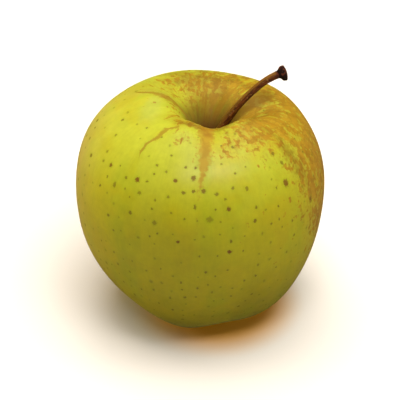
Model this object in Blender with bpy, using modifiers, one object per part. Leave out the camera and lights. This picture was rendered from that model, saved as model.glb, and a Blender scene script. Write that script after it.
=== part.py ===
"""A whole yellow-green apple that stands on the lobes of its base, with its stalk and dried calyx.

Metres, +Z up. The origin is on the table, under the middle of the fruit's outline.
+X is to the right and +Y away, seen from the side where the long russet streak runs down.
"""

import math
from typing import NamedTuple

import bmesh
import bpy
import numpy as np
from mathutils import Matrix, Vector

MM = 0.001


class Fold(NamedTuple):
    """A valley, or with a depth below 0 a ridge, that crosses the rim of the stalk cavity."""

    angle: float  # degrees round the fruit
    half_width: float  # degrees
    depth: float  # millimetres, as the next two
    distance: float
    reach: float


# Body of the fruit: a squared ellipsoid that narrows towards its base.
BODY_RADIUS = 40.4 * MM
BODY_HALF_HEIGHT = 38.9 * MM
SQUARENESS = 2.25
TAPER = 0.20
LEAN = math.radians(-1.0)

# Stalk cavity: a wide saucer towards the back, with a narrower funnel near its front right.
SAUCER_DEPTH = 9.6 * MM
SAUCER_RADIUS = 14.5 * MM
SAUCER_CENTRE = (4.0 * MM, 6.5 * MM)
FUNNEL_DEPTH = 13.0 * MM
FUNNEL_RADIUS = 6.6 * MM
FUNNEL_CENTRE = (3.6 * MM, 0.3 * MM)
FUNNEL_SEARCH_ANGLE = 0.35

# Calyx basin in the base.
BASIN_DEPTH = 11.5 * MM
BASIN_RADIUS = 9.5 * MM

# Five lobes, strongest at the base, faint on the shoulder. A span is where a lobe starts and is full.
LOBES = 5
LOBE_ANGLE = math.radians(-108)
BASE_LOBE_SWELL = 0.030
BASE_LOBE_DROP = 0.8 * MM
BASE_LOBE_SPAN = (-0.25, 0.95)
BASE_RING_RADIUS = 15.2 * MM
BASE_RING_WIDTH = 7.6 * MM
SHOULDER_LOBE_SWELL = 0.012
SHOULDER_LOBE_RISE = 0.7 * MM
SHOULDER_LOBE_SPAN = (0.2, 0.9)
RIM_RADIUS = 14.5 * MM
RIM_WIDTH = 7.25 * MM

# Slow unevenness of the whole body: share of the radius, waves round the fruit, and where it peaks.
UNEVENNESS = ((0.012, 2, math.radians(20)), (0.009, 3, math.radians(-60)))

FOLDS = (
    Fold(angle=10, half_width=24, depth=2.2, distance=15.0, reach=8.0),
    Fold(angle=-26, half_width=16, depth=-0.8, distance=15.0, reach=8.0),
    Fold(angle=114, half_width=22, depth=2.6, distance=16.0, reach=8.0),
    Fold(angle=165, half_width=24, depth=-2.2, distance=11.0, reach=7.0),
)

# The foot of each lobe is pressed flat by this much.
FOOT_FLAT = 0.55 * MM

# Mesh of the fruit. ROW_CROWDING draws the rows towards both ends, where the shape turns fastest.
SIDES = 104
ROWS = 46
ROW_CROWDING = 0.42

# Stalk: its path from the floor of the cavity, and its thickness along it.
STALK_CLEARANCE = 0.3 * MM
STALK_SIDES_RESOLUTION = 4
STALK_STEPS = 5
STALK_PATH = (
    # right, back, up, radius, all in millimetres
    (0.0, 0.0, -4.0, 1.35),
    (0.3, 0.0, 1.5, 1.45),
    (3.2, 0.4, 9.0, 1.15),
    (8.2, 1.4, 16.4, 0.90),
    (14.0, 2.8, 22.0, 0.88),
    (18.2, 3.6, 24.8, 1.05),
    (20.8, 4.0, 25.8, 1.75),
)
PAD_RADII = (2.5 * MM, 1.9 * MM, 1.15 * MM)
PAD_TILT = math.radians(62)
PAD_SIDES = 18
PAD_ROWS = 10

# Calyx: dried sepals that stand on the basin's floor, lean in to a neck and curl back out.
SEPALS = 5
SEPAL_ROOT_RADIUS = 2.1 * MM
SEPAL_NECK_RADIUS = 1.5 * MM
SEPAL_TIP_RADIUS = 4.9 * MM
SEPAL_NECK_ALONG = 0.40
SEPAL_CREST_ALONG = 0.75
SEPAL_CURL_ALONG = 0.70
SEPAL_HEIGHT = 3.6 * MM
SEPAL_TIP_CURL = 1.4 * MM
SEPAL_HALF_WIDTH = 1.35 * MM
SEPAL_TIP_NARROWING = 0.88
SEPAL_CUP = 0.35 * MM
SEPAL_THICKNESS = 0.45 * MM
SEPAL_ROOT_DROP = 1.5 * MM
SEPAL_ROWS = 10
SEPAL_COLUMNS = 4
CORE_RADIUS = 2.7 * MM
CORE_HALF_HEIGHT = 1.4 * MM
CORE_SIDES = 20
CORE_ROWS = 10
CALYX_CLEARANCE = 0.3 * MM

COLLECTION = "Apple"
CUTTERS = "Cutters"
WELD = 0.01 * MM


def smooth_step(value, low, high):
    """0 below low, 1 above high, with no corner between."""
    t = np.clip((value - low) / (high - low), 0.0, 1.0)
    return t * t * (3.0 - 2.0 * t)


def bell(distance, width):
    """1 where the distance is 0, falling to 0 on both sides of it."""
    return np.exp(-((distance / width) ** 2))


def turned_bell(angle, centre, width):
    """A bell over an angle, the same after each whole turn."""
    return bell(np.angle(np.exp(1j * (angle - centre))), width)


def cavity_depth(x, y):
    """How far the saucer and the funnel sink below the crown."""
    from_saucer = np.hypot(x - SAUCER_CENTRE[0], y - SAUCER_CENTRE[1])
    from_funnel = np.hypot(x - FUNNEL_CENTRE[0], y - FUNNEL_CENTRE[1])
    return SAUCER_DEPTH * bell(from_saucer, SAUCER_RADIUS) + FUNNEL_DEPTH * bell(from_funnel, FUNNEL_RADIUS)


def fold_depth(radius, around):
    """How far the folds sink into the rim of the cavity."""
    depth = 0.0
    for fold in FOLDS:
        turn = turned_bell(around, math.radians(fold.angle), math.radians(fold.half_width))
        depth = depth + fold.depth * MM * turn * bell(radius - fold.distance * MM, fold.reach * MM)
    return depth


def fruit_points(polar, around):
    """Points of the skin for a polar angle from the stalk end and an angle round the fruit."""
    rise = np.cos(polar)
    out = np.sin(polar)
    height = BODY_HALF_HEIGHT * np.sign(rise) * np.abs(rise) ** (2.0 / SQUARENESS)
    level = height / BODY_HALF_HEIGHT
    radius = BODY_RADIUS * out ** (2.0 / SQUARENESS) * (1.0 - TAPER * (1.0 - level) / 2.0)

    lobe = np.cos(LOBES * (around - LOBE_ANGLE))
    low = smooth_step(-level, *BASE_LOBE_SPAN)
    high = smooth_step(level, *SHOULDER_LOBE_SPAN)
    swell = 1.0 + lobe * (BASE_LOBE_SWELL * low + SHOULDER_LOBE_SWELL * high)
    for share, waves, peak in UNEVENNESS:
        swell = swell + share * np.cos(waves * (around - peak)) * out
    radius = radius * swell

    x = radius * np.cos(around)
    y = radius * np.sin(around)
    rim_rise = lobe * SHOULDER_LOBE_RISE * bell(radius - RIM_RADIUS, RIM_WIDTH)
    foot_drop = lobe * BASE_LOBE_DROP * bell(radius - BASE_RING_RADIUS, BASE_RING_WIDTH)
    crown = rim_rise - cavity_depth(x, y) - fold_depth(radius, around)
    base = BASIN_DEPTH * bell(radius, BASIN_RADIUS) - foot_drop
    return x, y, height + np.where(level > 0.0, crown, base)


def crowded(polar):
    """The polar angles drawn towards both ends."""
    return polar - ROW_CROWDING * np.sin(2.0 * polar) / 2.0


def standing(x, y, z, lowest):
    """Points set on the table, leaning sideways, with the feet pressed flat."""
    z = z - lowest - FOOT_FLAT
    return x + math.tan(LEAN) * z, y, np.maximum(z, 0.0)


def fruit_frame():
    """Height of the lowest foot, and the middle of the fruit's outline from above."""
    polar, around = np.meshgrid(
        crowded(np.linspace(0.0, math.pi, 4 * ROWS + 1)),
        np.linspace(0.0, 2.0 * math.pi, 4 * SIDES, endpoint=False),
    )
    x, y, z = fruit_points(polar, around)
    lowest = z.min()
    x, y, z = standing(x, y, z, lowest)
    return lowest, ((x.min() + x.max()) / 2.0, (y.min() + y.max()) / 2.0)


LOWEST, MIDDLE = fruit_frame()


def placed(x, y, z):
    """Points in the part's own frame."""
    x, y, z = standing(x, y, z, LOWEST)
    return np.stack([x - MIDDLE[0], y - MIDDLE[1], z], axis=-1)


def basin_roof():
    """The highest point of the calyx basin."""
    return Vector(placed(*fruit_points(np.array([math.pi]), np.array([0.0])))[0].tolist())


def cavity_floor():
    """The lowest point of the stalk cavity."""
    polar, around = np.meshgrid(
        np.linspace(0.0, FUNNEL_SEARCH_ANGLE, ROWS), np.linspace(0.0, 2.0 * math.pi, SIDES, endpoint=False)
    )
    points = placed(*fruit_points(polar, around)).reshape(-1, 3)
    return Vector(points[points[:, 2].argmin()].tolist())


def collection(name):
    """A new collection in the scene."""
    made = bpy.data.collections.new(name)
    bpy.context.scene.collection.children.link(made)
    return made


def material(name, colour, roughness):
    """A plain Principled material."""
    made = bpy.data.materials.new(name)
    made.use_nodes = True
    shader = made.node_tree.nodes["Principled BSDF"]
    shader.inputs["Base Color"].default_value = (*colour, 1.0)
    shader.inputs["Roughness"].default_value = roughness
    shader.inputs["Metallic"].default_value = 0.0
    return made


def linked(name, data, group):
    """A new object of this mesh or curve in a collection."""
    made = bpy.data.objects.new(name, data)
    group.objects.link(made)
    return made


def mesh_from(edit, name):
    """The edited shape as a mesh of its own."""
    mesh = bpy.data.meshes.new(name)
    edit.to_mesh(mesh)
    edit.free()
    return mesh


def dress(made, finish):
    """The object in one material, shaded smooth."""
    made.data.materials.clear()
    made.data.materials.append(finish)
    made.data.shade_smooth()


def as_mesh(curve_object, group):
    """A welded mesh of a curve object, which it takes the place of."""
    bpy.context.view_layer.update()
    graph = bpy.context.evaluated_depsgraph_get()
    mesh = bpy.data.meshes.new_from_object(curve_object.evaluated_get(graph))
    mesh.transform(curve_object.matrix_world)
    edit = bmesh.new()
    edit.from_mesh(mesh)
    bmesh.ops.remove_doubles(edit, verts=edit.verts, dist=WELD)
    bmesh.ops.recalc_face_normals(edit, faces=edit.faces)
    edit.to_mesh(mesh)
    edit.free()
    name = curve_object.name
    bpy.data.objects.remove(curve_object)
    return linked(name, mesh, group)


def apply_modifiers(made):
    """The object's modifiers made part of its mesh."""
    bpy.context.view_layer.update()
    graph = bpy.context.evaluated_depsgraph_get()
    mesh = bpy.data.meshes.new_from_object(made.evaluated_get(graph))
    made.modifiers.clear()
    made.data = mesh


def build_fruit(group, finish):
    """A UV sphere whose every vertex is moved to its place on the apple's skin."""
    edit = bmesh.new()
    bmesh.ops.create_uvsphere(edit, u_segments=SIDES, v_segments=ROWS, radius=1.0)
    ball = np.array([vertex.co for vertex in edit.verts])
    polar = crowded(np.arccos(np.clip(ball[:, 2], -1.0, 1.0)))
    points = placed(*fruit_points(polar, np.arctan2(ball[:, 1], ball[:, 0])))
    for vertex, point in zip(edit.verts, points):
        vertex.co = point
    fruit = linked("fruit", mesh_from(edit, "fruit"), group)
    dress(fruit, finish)
    return fruit


def stalk_curve(name, group, grow):
    """The stalk's centreline with its thickness, wider all round and deeper at its root by grow."""
    curve = bpy.data.curves.new(name, "CURVE")
    curve.dimensions = "3D"
    curve.bevel_depth = MM
    curve.bevel_resolution = STALK_SIDES_RESOLUTION
    curve.resolution_u = STALK_STEPS
    curve.use_fill_caps = True
    spline = curve.splines.new("BEZIER")
    spline.bezier_points.add(len(STALK_PATH) - 1)
    floor = cavity_floor()
    for point, (right, back, up, radius) in zip(spline.bezier_points, STALK_PATH):
        point.co = floor + Vector((right, back, up)) * MM
        point.handle_left_type = "AUTO"
        point.handle_right_type = "AUTO"
        point.radius = radius + grow / MM
    spline.bezier_points[0].co.z -= grow
    return linked(name, curve, group)


def build_pad(group):
    """The oval pad where the stalk came off its twig."""
    edit = bmesh.new()
    bmesh.ops.create_uvsphere(edit, u_segments=PAD_SIDES, v_segments=PAD_ROWS, radius=1.0)
    mesh = mesh_from(edit, "pad")
    end = cavity_floor() + Vector(STALK_PATH[-1][:3]) * MM
    place = Matrix.Translation(end) @ Matrix.Rotation(PAD_TILT, 4, "Y")
    mesh.transform(place @ Matrix.Diagonal((*PAD_RADII, 1.0)))
    return linked("pad", mesh, group)


def build_stalk(group, finish):
    """The stalk with the pad fused to its end."""
    stalk = as_mesh(stalk_curve("stalk", group, 0.0), group)
    pad = build_pad(group)
    fuse = stalk.modifiers.new("Pad", "BOOLEAN")
    fuse.operation = "UNION"
    fuse.object = pad
    apply_modifiers(stalk)
    bpy.data.objects.remove(pad)
    dress(stalk, finish)


def cut_stalk_socket(fruit, cutters):
    """The hole that the stalk's root sits in: the stalk's own shape, a clearance wider and deeper."""
    cutter = as_mesh(stalk_curve("stalk_socket_cutter", cutters, STALK_CLEARANCE), cutters)
    cutter.hide_render = True
    cutter.display_type = "WIRE"
    cut = fruit.modifiers.new("Stalk socket", "BOOLEAN")
    cut.operation = "DIFFERENCE"
    cut.object = cutter


def sepal_mesh(turn):
    """One dried sepal: it leans in to the neck, then bends out and curls back up at its tip."""
    edit = bmesh.new()
    bmesh.ops.create_grid(edit, x_segments=SEPAL_COLUMNS, y_segments=SEPAL_ROWS, size=1.0)
    for vertex in edit.verts:
        across = vertex.co.x
        along = (vertex.co.y + 1.0) / 2.0
        inward = smooth_step(along, 0.0, SEPAL_NECK_ALONG)
        outward = smooth_step(along, SEPAL_NECK_ALONG, 1.0)
        out = SEPAL_ROOT_RADIUS + (SEPAL_NECK_RADIUS - SEPAL_ROOT_RADIUS) * inward
        out = out + (SEPAL_TIP_RADIUS - SEPAL_NECK_RADIUS) * outward
        drop = SEPAL_ROOT_DROP + SEPAL_HEIGHT * math.sin(math.pi / 2.0 * min(along / SEPAL_CREST_ALONG, 1.0))
        drop = drop - SEPAL_TIP_CURL * smooth_step(along, SEPAL_CURL_ALONG, 1.0)
        width = SEPAL_HALF_WIDTH * (1.0 - SEPAL_TIP_NARROWING * along**2)
        vertex.co = Vector((out + SEPAL_CUP * across**2 * (1.0 - along), width * across, -drop))
    bmesh.ops.rotate(edit, verts=edit.verts, cent=(0, 0, 0), matrix=Matrix.Rotation(turn, 3, "Z"))
    return mesh_from(edit, "sepal")


def build_core(group):
    """The squashed round core that the sepals stand on."""
    edit = bmesh.new()
    bmesh.ops.create_uvsphere(edit, u_segments=CORE_SIDES, v_segments=CORE_ROWS, radius=1.0)
    bmesh.ops.scale(edit, verts=edit.verts, vec=(CORE_RADIUS, CORE_RADIUS, CORE_HALF_HEIGHT))
    bmesh.ops.translate(edit, verts=edit.verts, vec=(0.0, 0.0, -CALYX_CLEARANCE - CORE_HALF_HEIGHT))
    return linked("calyx", mesh_from(edit, "calyx"), group)


def build_calyx(group, finish):
    """The core and its sepals joined into one solid, under the roof of the basin."""
    calyx = build_core(group)
    loose = collection("Sepals")
    for index in range(SEPALS):
        turn = LOBE_ANGLE + (2 * index + 1) * math.pi / SEPALS
        leaf = linked(f"sepal_{index}", sepal_mesh(turn), loose)
        wall = leaf.modifiers.new("Thickness", "SOLIDIFY")
        wall.thickness = SEPAL_THICKNESS
        wall.offset = 0.0
        apply_modifiers(leaf)
    fuse = calyx.modifiers.new("Sepals", "BOOLEAN")
    fuse.operation = "UNION"
    fuse.operand_type = "COLLECTION"
    fuse.collection = loose
    apply_modifiers(calyx)
    for leaf in list(loose.objects):
        bpy.data.objects.remove(leaf)
    bpy.data.collections.remove(loose)
    dress(calyx, finish)
    calyx.data.transform(Matrix.Translation(basin_roof()))


def main():
    """The whole apple."""
    for old in list(bpy.data.objects):
        bpy.data.objects.remove(old)
    group = collection(COLLECTION)
    cutters = collection(CUTTERS)
    skin = material("apple_skin", (0.55, 0.52, 0.08), 0.42)
    bark = material("stalk_bark", (0.16, 0.06, 0.02), 0.6)
    dried = material("dried_sepal", (0.11, 0.05, 0.025), 0.8)
    fruit = build_fruit(group, skin)
    cut_stalk_socket(fruit, cutters)
    build_stalk(group, bark)
    build_calyx(group, dried)


main()
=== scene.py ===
"""Looks of a whole yellow-green apple: its russeted skin, its stalk and its dried calyx.

Metres, +Z up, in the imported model's own frame. +X is to the right and +Y away from the viewer of
the photograph.
"""

import logging
import math
from dataclasses import dataclass, field
from enum import Enum
from functools import cached_property

import bpy
import numpy as np
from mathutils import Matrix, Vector


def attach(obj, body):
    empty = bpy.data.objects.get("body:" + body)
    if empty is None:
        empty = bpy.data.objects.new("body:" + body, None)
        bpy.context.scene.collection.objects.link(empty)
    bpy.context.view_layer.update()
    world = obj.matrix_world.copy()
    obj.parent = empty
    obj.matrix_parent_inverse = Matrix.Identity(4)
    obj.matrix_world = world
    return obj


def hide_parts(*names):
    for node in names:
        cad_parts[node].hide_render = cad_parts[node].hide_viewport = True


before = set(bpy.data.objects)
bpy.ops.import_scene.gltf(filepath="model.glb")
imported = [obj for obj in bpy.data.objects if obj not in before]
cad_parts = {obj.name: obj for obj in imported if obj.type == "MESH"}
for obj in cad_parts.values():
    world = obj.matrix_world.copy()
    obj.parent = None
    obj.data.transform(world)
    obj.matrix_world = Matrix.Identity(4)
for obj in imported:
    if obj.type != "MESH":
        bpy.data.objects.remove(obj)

Array = np.ndarray
Colour = tuple[float, float, float]
Socket = bpy.types.NodeSocket
BLACK: Colour = (0.0, 0.0, 0.0)

MM = 0.001
BODY = "root"
GOLDEN_ANGLE = math.pi * (3.0 - math.sqrt(5.0))
# the sockets of a Mix node that mixes colours
MIX_UNDER, MIX_OVER, MIX_RESULT = 6, 7, 2

log = logging.getLogger("apple")


class SurfaceField(Enum):
    """The named fields that a mesh carries for its material."""

    GRAIN = "grain"
    RUSSET = "russet"
    # how deep in the cavity, which sets the painted shade there, how deep in the basin, and where the
    # painted rim reflection lies
    HOLLOWS = "hollows"
    LINE_SIDES = "line_sides"
    LINE_KEEPS = "line_keeps"
    MARK_OFFSET = "mark_offset"
    MARK_REACH = "mark_reach"
    MARK_TONE = "mark_tone"
    ALONG = "along"
    # browned russet, and in the fold right of the stalk painted shade with the stalk's painted shadow
    TOAST_AND_SHADOW = "toast_and_shadow"


# Curves and surfaces


def smooth_step(value: Array, low: float, high: float) -> Array:
    """Rises from 0 at low to 1 at high along 3t^2 - 2t^3.

    Args:
        value: where the step is read.
        low: the value at which it starts.
        high: the value at which it is complete.

    Returns:
        The step's height at each value.
    """
    t = np.clip((value - low) / (high - low), 0.0, 1.0)
    return t * t * (3.0 - 2.0 * t)


def bell(distance: Array, width: float | Array) -> Array:
    """e to the minus (distance / width) squared: 1 in the middle, falling to 0 on both sides."""
    return np.exp(-((distance / width) ** 2))


def turned(angle: Array) -> Array:
    """The angle brought within half a turn of 0."""
    return np.angle(np.exp(1j * angle))


def unit(vectors: Array) -> Array:
    """Each vector divided by its own length."""
    return vectors / np.maximum(np.linalg.norm(vectors, axis=-1, keepdims=True), 1e-12)


@dataclass(frozen=True)
class Wave:
    """A ripple round something: share x the cosine of turns x angle + twist x length + start."""

    share: float
    turns: float
    twist: float
    start: float


def rippled(waves: tuple[Wave, ...], turn: Array, length: Array, level: float = 0.0) -> Array:
    """A level with waves on it.

    Args:
        waves: the waves.
        turn: the angle that their turns count.
        length: the length that their twists count.
        level: what they are added to.

    Returns:
        The sum.
    """
    total = level
    for wave in waves:
        total = total + wave.share * np.cos(wave.turns * turn + wave.twist * length + wave.start)
    return total


def smooth_path(knots: Array, steps: int) -> Array:
    """A cubic Hermite curve through the knots.

    The tangent at a knot is half the way between its neighbours.

    Args:
        knots: one row for each knot, of any number of columns.
        steps: samples on each span.

    Returns:
        The samples, one row each, from the first knot to the last.
    """
    tangents = np.gradient(knots, axis=0)
    t = np.linspace(0.0, 1.0, steps, endpoint=False)[None, :, None]
    start, end = knots[:-1, None], knots[1:, None]
    leave, arrive = tangents[:-1, None], tangents[1:, None]
    spans = (
        (2 * t**3 - 3 * t**2 + 1) * start
        + (t**3 - 2 * t**2 + t) * leave
        + (3 * t**2 - 2 * t**3) * end
        + (t**3 - t**2) * arrive
    )
    return np.concatenate([spans.reshape(-1, knots.shape[1]), knots[-1:]])


@dataclass(frozen=True)
class Shell:
    """A closed surface: its points, and its faces as rows of point numbers."""

    points: Array
    quads: Array
    triangles: Array


def closed_shell(rings: Array, first: Array, last: Array) -> Shell:
    """Closes a stack of rings with a point at each end.

    Along the rows and then round the ring is outwards by the right-hand rule.

    Args:
        rings: points by row and column, the columns running once round.
        first: the point that closes the first ring.
        last: the point that closes the last ring.

    Returns:
        The closed surface.
    """
    rows, columns = rings.shape[:2]
    number = 1 + np.arange(rows * columns).reshape(rows, columns)
    beside = np.roll(number, -1, axis=1)
    quads = np.stack([number[:-1], number[1:], beside[1:], beside[:-1]], axis=-1).reshape(-1, 4)
    top = np.stack([np.zeros(columns, int), number[0], beside[0]], axis=-1)
    end = rows * columns + 1
    bottom = np.stack([np.full(columns, end), beside[-1], number[-1]], axis=-1)
    points = np.concatenate([first[None], rings.reshape(-1, 3), last[None]])
    return Shell(points, quads, np.concatenate([top, bottom]))


def swept_shell(path: Array, radii: Array, reference: Array, columns: int) -> Shell:
    """A closed tube: path point + radius x (cos a x normal + sin a x binormal), with a point at each end.

    Args:
        path: the centre line, one row a point.
        radii: radius by row and column.
        reference: a direction that the path never runs along; the normal is square to it and to the path.
        columns: points round the tube.

    Returns:
        The closed tube.
    """
    tangent = unit(np.gradient(path, axis=0))
    normal = unit(np.cross(reference, tangent))
    binormal = np.cross(normal, tangent)
    angle = np.linspace(0.0, 2.0 * math.pi, columns, endpoint=False)
    ring = np.cos(angle)[None, :, None] * normal[:, None] + np.sin(angle)[None, :, None] * binormal[:, None]
    points = path[:, None] + radii[..., None] * ring
    return closed_shell(points[1:-1], path[0], path[-1])


def with_poles(values: Array, first: Array | float, last: Array | float) -> Array:
    """Values on the rings as one list in the order of a closed shell's points.

    Args:
        values: by row and column, with any last axis.
        first: the value at the first end point.
        last: the value at the last end point.

    Returns:
        One value a point.
    """
    flat = values.reshape(-1, *values.shape[2:])
    ends = [np.broadcast_to(end, (1, *flat.shape[1:])) for end in (first, last)]
    return np.concatenate([ends[0], flat, ends[1]])


def make_object(name: str, shells: list[Shell]) -> bpy.types.Object:
    """One object of these shells, with its place in its mesh.

    Args:
        name: the piece's name.
        shells: closed surfaces, which stay separate bodies of one mesh.

    Returns:
        The object, linked to the scene and shaded smooth.
    """
    starts = np.cumsum([0] + [len(shell.points) for shell in shells])
    faces = []
    for start, shell in zip(starts, shells):
        faces += (shell.quads + start).tolist() + (shell.triangles + start).tolist()
    mesh = bpy.data.meshes.new(name)
    mesh.from_pydata(np.concatenate([shell.points for shell in shells]).tolist(), [], faces)
    mesh.shade_smooth()
    made = bpy.data.objects.new(name, mesh)
    bpy.context.scene.collection.objects.link(made)
    return made


def carry(made: bpy.types.Object, name: SurfaceField, values: Array) -> None:
    """Stores a field on the mesh, one number or one vector a point.

    Args:
        made: the object.
        name: the field.
        values: one row a point.
    """
    vector = values.ndim == 2
    kind, key = ("FLOAT_VECTOR", "vector") if vector else ("FLOAT", "value")
    attribute = made.data.attributes.new(name.value, kind, "POINT")
    attribute.data.foreach_set(key, np.ascontiguousarray(values, np.float32).ravel())


def hand_over(made: bpy.types.Object, slot: str, *nodes: str) -> None:
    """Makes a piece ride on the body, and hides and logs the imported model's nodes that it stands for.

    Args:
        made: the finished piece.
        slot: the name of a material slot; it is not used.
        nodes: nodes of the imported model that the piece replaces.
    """
    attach(made, BODY)
    if nodes:
        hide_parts(*nodes)
    triangles = sum(len(face.vertices) - 2 for face in made.data.polygons)
    log.info("%s: %d triangles, stands for %s", made.name, triangles, ", ".join(nodes) or "nothing")


# Shader nodes


class NodeSheet:
    """Short calls that add nodes to one shader tree and link them."""

    def __init__(self, tree: bpy.types.NodeTree) -> None:
        """Keeps the tree that the calls add to."""
        self.tree = tree

    def add(self, kind: str, **settings: object) -> bpy.types.Node:
        """A new node with these settings.

        Args:
            kind: Blender's name of the node type.
            settings: properties of the node.

        Returns:
            The node.
        """
        node = self.tree.nodes.new(kind)
        for name, value in settings.items():
            setattr(node, name, value)
        return node

    def feed(self, socket: Socket, value: Socket | float | tuple) -> None:
        """Links the value to the socket if it is a socket, and else sets it there.

        Args:
            socket: the input.
            value: a socket, a number, a vector or a colour of three numbers.
        """
        if isinstance(value, Socket):
            self.tree.links.new(value, socket)
        elif isinstance(value, tuple) and socket.type == "RGBA":
            socket.default_value = (*value, 1.0)
        else:
            socket.default_value = value

    def math(self, operation: str, first: Socket | float, second: Socket | float = 0.0) -> Socket:
        """The result of one operation on numbers.

        Args:
            operation: Blender's name of it.
            first: the first number.
            second: the second number, where the operation takes two.

        Returns:
            The result.
        """
        node = self.add("ShaderNodeMath", operation=operation)
        self.feed(node.inputs[0], first)
        self.feed(node.inputs[1], second)
        return node.outputs[0]

    def plus(self, first: Socket | float, second: Socket | float) -> Socket:
        """The sum of two numbers."""
        return self.math("ADD", first, second)

    def minus(self, first: Socket | float, second: Socket | float) -> Socket:
        """The first number less the second."""
        return self.math("SUBTRACT", first, second)

    def times(self, first: Socket | float, second: Socket | float) -> Socket:
        """The product of two numbers."""
        return self.math("MULTIPLY", first, second)

    def larger(self, first: Socket | float, second: Socket | float) -> Socket:
        """The larger of two numbers."""
        return self.math("MAXIMUM", first, second)

    def rest(self, share: Socket) -> Socket:
        """What is left of 1 when the share is taken away."""
        return self.math("SUBTRACT", 1.0, share)

    def place(self) -> Socket:
        """The coordinates of the object, in metres."""
        return self.add("ShaderNodeTexCoord").outputs["Object"]

    def vector(self, operation: str, first: Socket, second: Socket | tuple) -> Socket:
        """The vector that one operation on two vectors gives.

        Args:
            operation: Blender's name of it.
            first: the first vector.
            second: the second vector.

        Returns:
            The result.
        """
        node = self.add("ShaderNodeVectorMath", operation=operation)
        self.feed(node.inputs[0], first)
        self.feed(node.inputs[1], second)
        return node.outputs["Vector"]

    def length(self, vector: Socket) -> Socket:
        """The length of a vector.

        Args:
            vector: the vector.

        Returns:
            Its length.
        """
        node = self.add("ShaderNodeVectorMath", operation="LENGTH")
        self.feed(node.inputs[0], vector)
        return node.outputs["Value"]

    def parts(self, vector: Socket) -> tuple[Socket, Socket, Socket]:
        """The three numbers of a vector.

        Args:
            vector: the vector.

        Returns:
            Its x, y and z.
        """
        node = self.add("ShaderNodeSeparateXYZ")
        self.feed(node.inputs[0], vector)
        return node.outputs[0], node.outputs[1], node.outputs[2]

    def noise(self, place: Socket, scale: float, detail: float = 2.0, roughness: float = 0.5) -> Socket:
        """Cloudy noise from 0 to 1.

        Args:
            place: the vector it is read at.
            scale: clouds to one unit of that vector.
            detail: octaves of finer clouds.
            roughness: how strong the finer ones are.

        Returns:
            The noise.
        """
        node = self.add("ShaderNodeTexNoise")
        self.feed(node.inputs["Vector"], place)
        self.feed(node.inputs["Scale"], scale)
        self.feed(node.inputs["Detail"], detail)
        self.feed(node.inputs["Roughness"], roughness)
        return node.outputs[0]

    def step(self, value: Socket, low: float | Socket, high: float | Socket, top: float = 1.0) -> Socket:
        """Rises smoothly from 0 where the value is low to top where it is high.

        Args:
            value: where the step is read.
            low: the value at which it starts.
            high: the value at which it is complete.
            top: the height that it reaches.

        Returns:
            The step's height.
        """
        node = self.add("ShaderNodeMapRange", interpolation_type="SMOOTHSTEP")
        for name, given in (("Value", value), ("From Min", low), ("From Max", high), ("To Max", top)):
            self.feed(node.inputs[name], given)
        return node.outputs["Result"]

    def span(self, value: Socket, low: float, high: float, bottom: float, top: float) -> Socket:
        """Goes straight from bottom where the value is low to top where it is high, and no further.

        Args:
            value: where it is read.
            low: the value at which it leaves the bottom.
            high: the value at which it is at the top.
            bottom: its result at the low value.
            top: its result at the high value.

        Returns:
            The result.
        """
        node = self.add("ShaderNodeMapRange")
        given = {"Value": value, "From Min": low, "From Max": high, "To Min": bottom, "To Max": top}
        for name, number in given.items():
            self.feed(node.inputs[name], number)
        return node.outputs["Result"]

    def blend(self, amount: Socket | float, under: Socket | Colour, over: Socket | Colour) -> Socket:
        """One colour laid on another.

        Args:
            amount: how much of the upper colour is used, from 0 to 1.
            under: the lower colour.
            over: the upper colour.

        Returns:
            The mixed colour.
        """
        node = self.add("ShaderNodeMix", data_type="RGBA")
        self.feed(node.inputs[0], amount)
        self.feed(node.inputs[MIX_UNDER], under)
        self.feed(node.inputs[MIX_OVER], over)
        return node.outputs[MIX_RESULT]

    def shade(self, colour: Socket, factor: Socket) -> Socket:
        """The colour multiplied by a number.

        Args:
            colour: the colour.
            factor: the number.

        Returns:
            The product.
        """
        node = self.add("ShaderNodeVectorMath", operation="SCALE")
        self.feed(node.inputs[0], colour)
        self.feed(node.inputs["Scale"], factor)
        return node.outputs["Vector"]

    def read(self, name: SurfaceField) -> bpy.types.Node:
        """The node that reads a field of the mesh."""
        return self.add("ShaderNodeAttribute", attribute_name=name.value)

    def group(self, tree: bpy.types.NodeTree, **values: object) -> Socket:
        """A group placed here with its own values, named as its inputs are but in small letters.

        Args:
            tree: the group.
            values: one value or socket for each input that is set.

        Returns:
            The group's only output.
        """
        node = self.add("ShaderNodeGroup", node_tree=tree)
        for name, value in values.items():
            self.feed(node.inputs[name.capitalize()], value)
        return node.outputs[0]


def new_group(
    name: str, inputs: dict[str, str], output: str
) -> tuple[NodeSheet, dict[str, Socket], Socket]:
    """An empty shader group.

    Args:
        name: its name.
        inputs: the name of each input and its socket type.
        output: the name of its one output, which is a number.

    Returns:
        The sheet to build it on, its inputs by name, and the socket that its result goes to.
    """
    tree = bpy.data.node_groups.new(name, "ShaderNodeTree")
    for given, kind in inputs.items():
        tree.interface.new_socket(given, in_out="INPUT", socket_type=kind)
    tree.interface.new_socket(output, in_out="OUTPUT", socket_type="NodeSocketFloat")
    sheet = NodeSheet(tree)
    source = sheet.add("NodeGroupInput")
    result = sheet.add("NodeGroupOutput")
    return sheet, {given: source.outputs[given] for given in inputs}, result.inputs[0]


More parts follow.
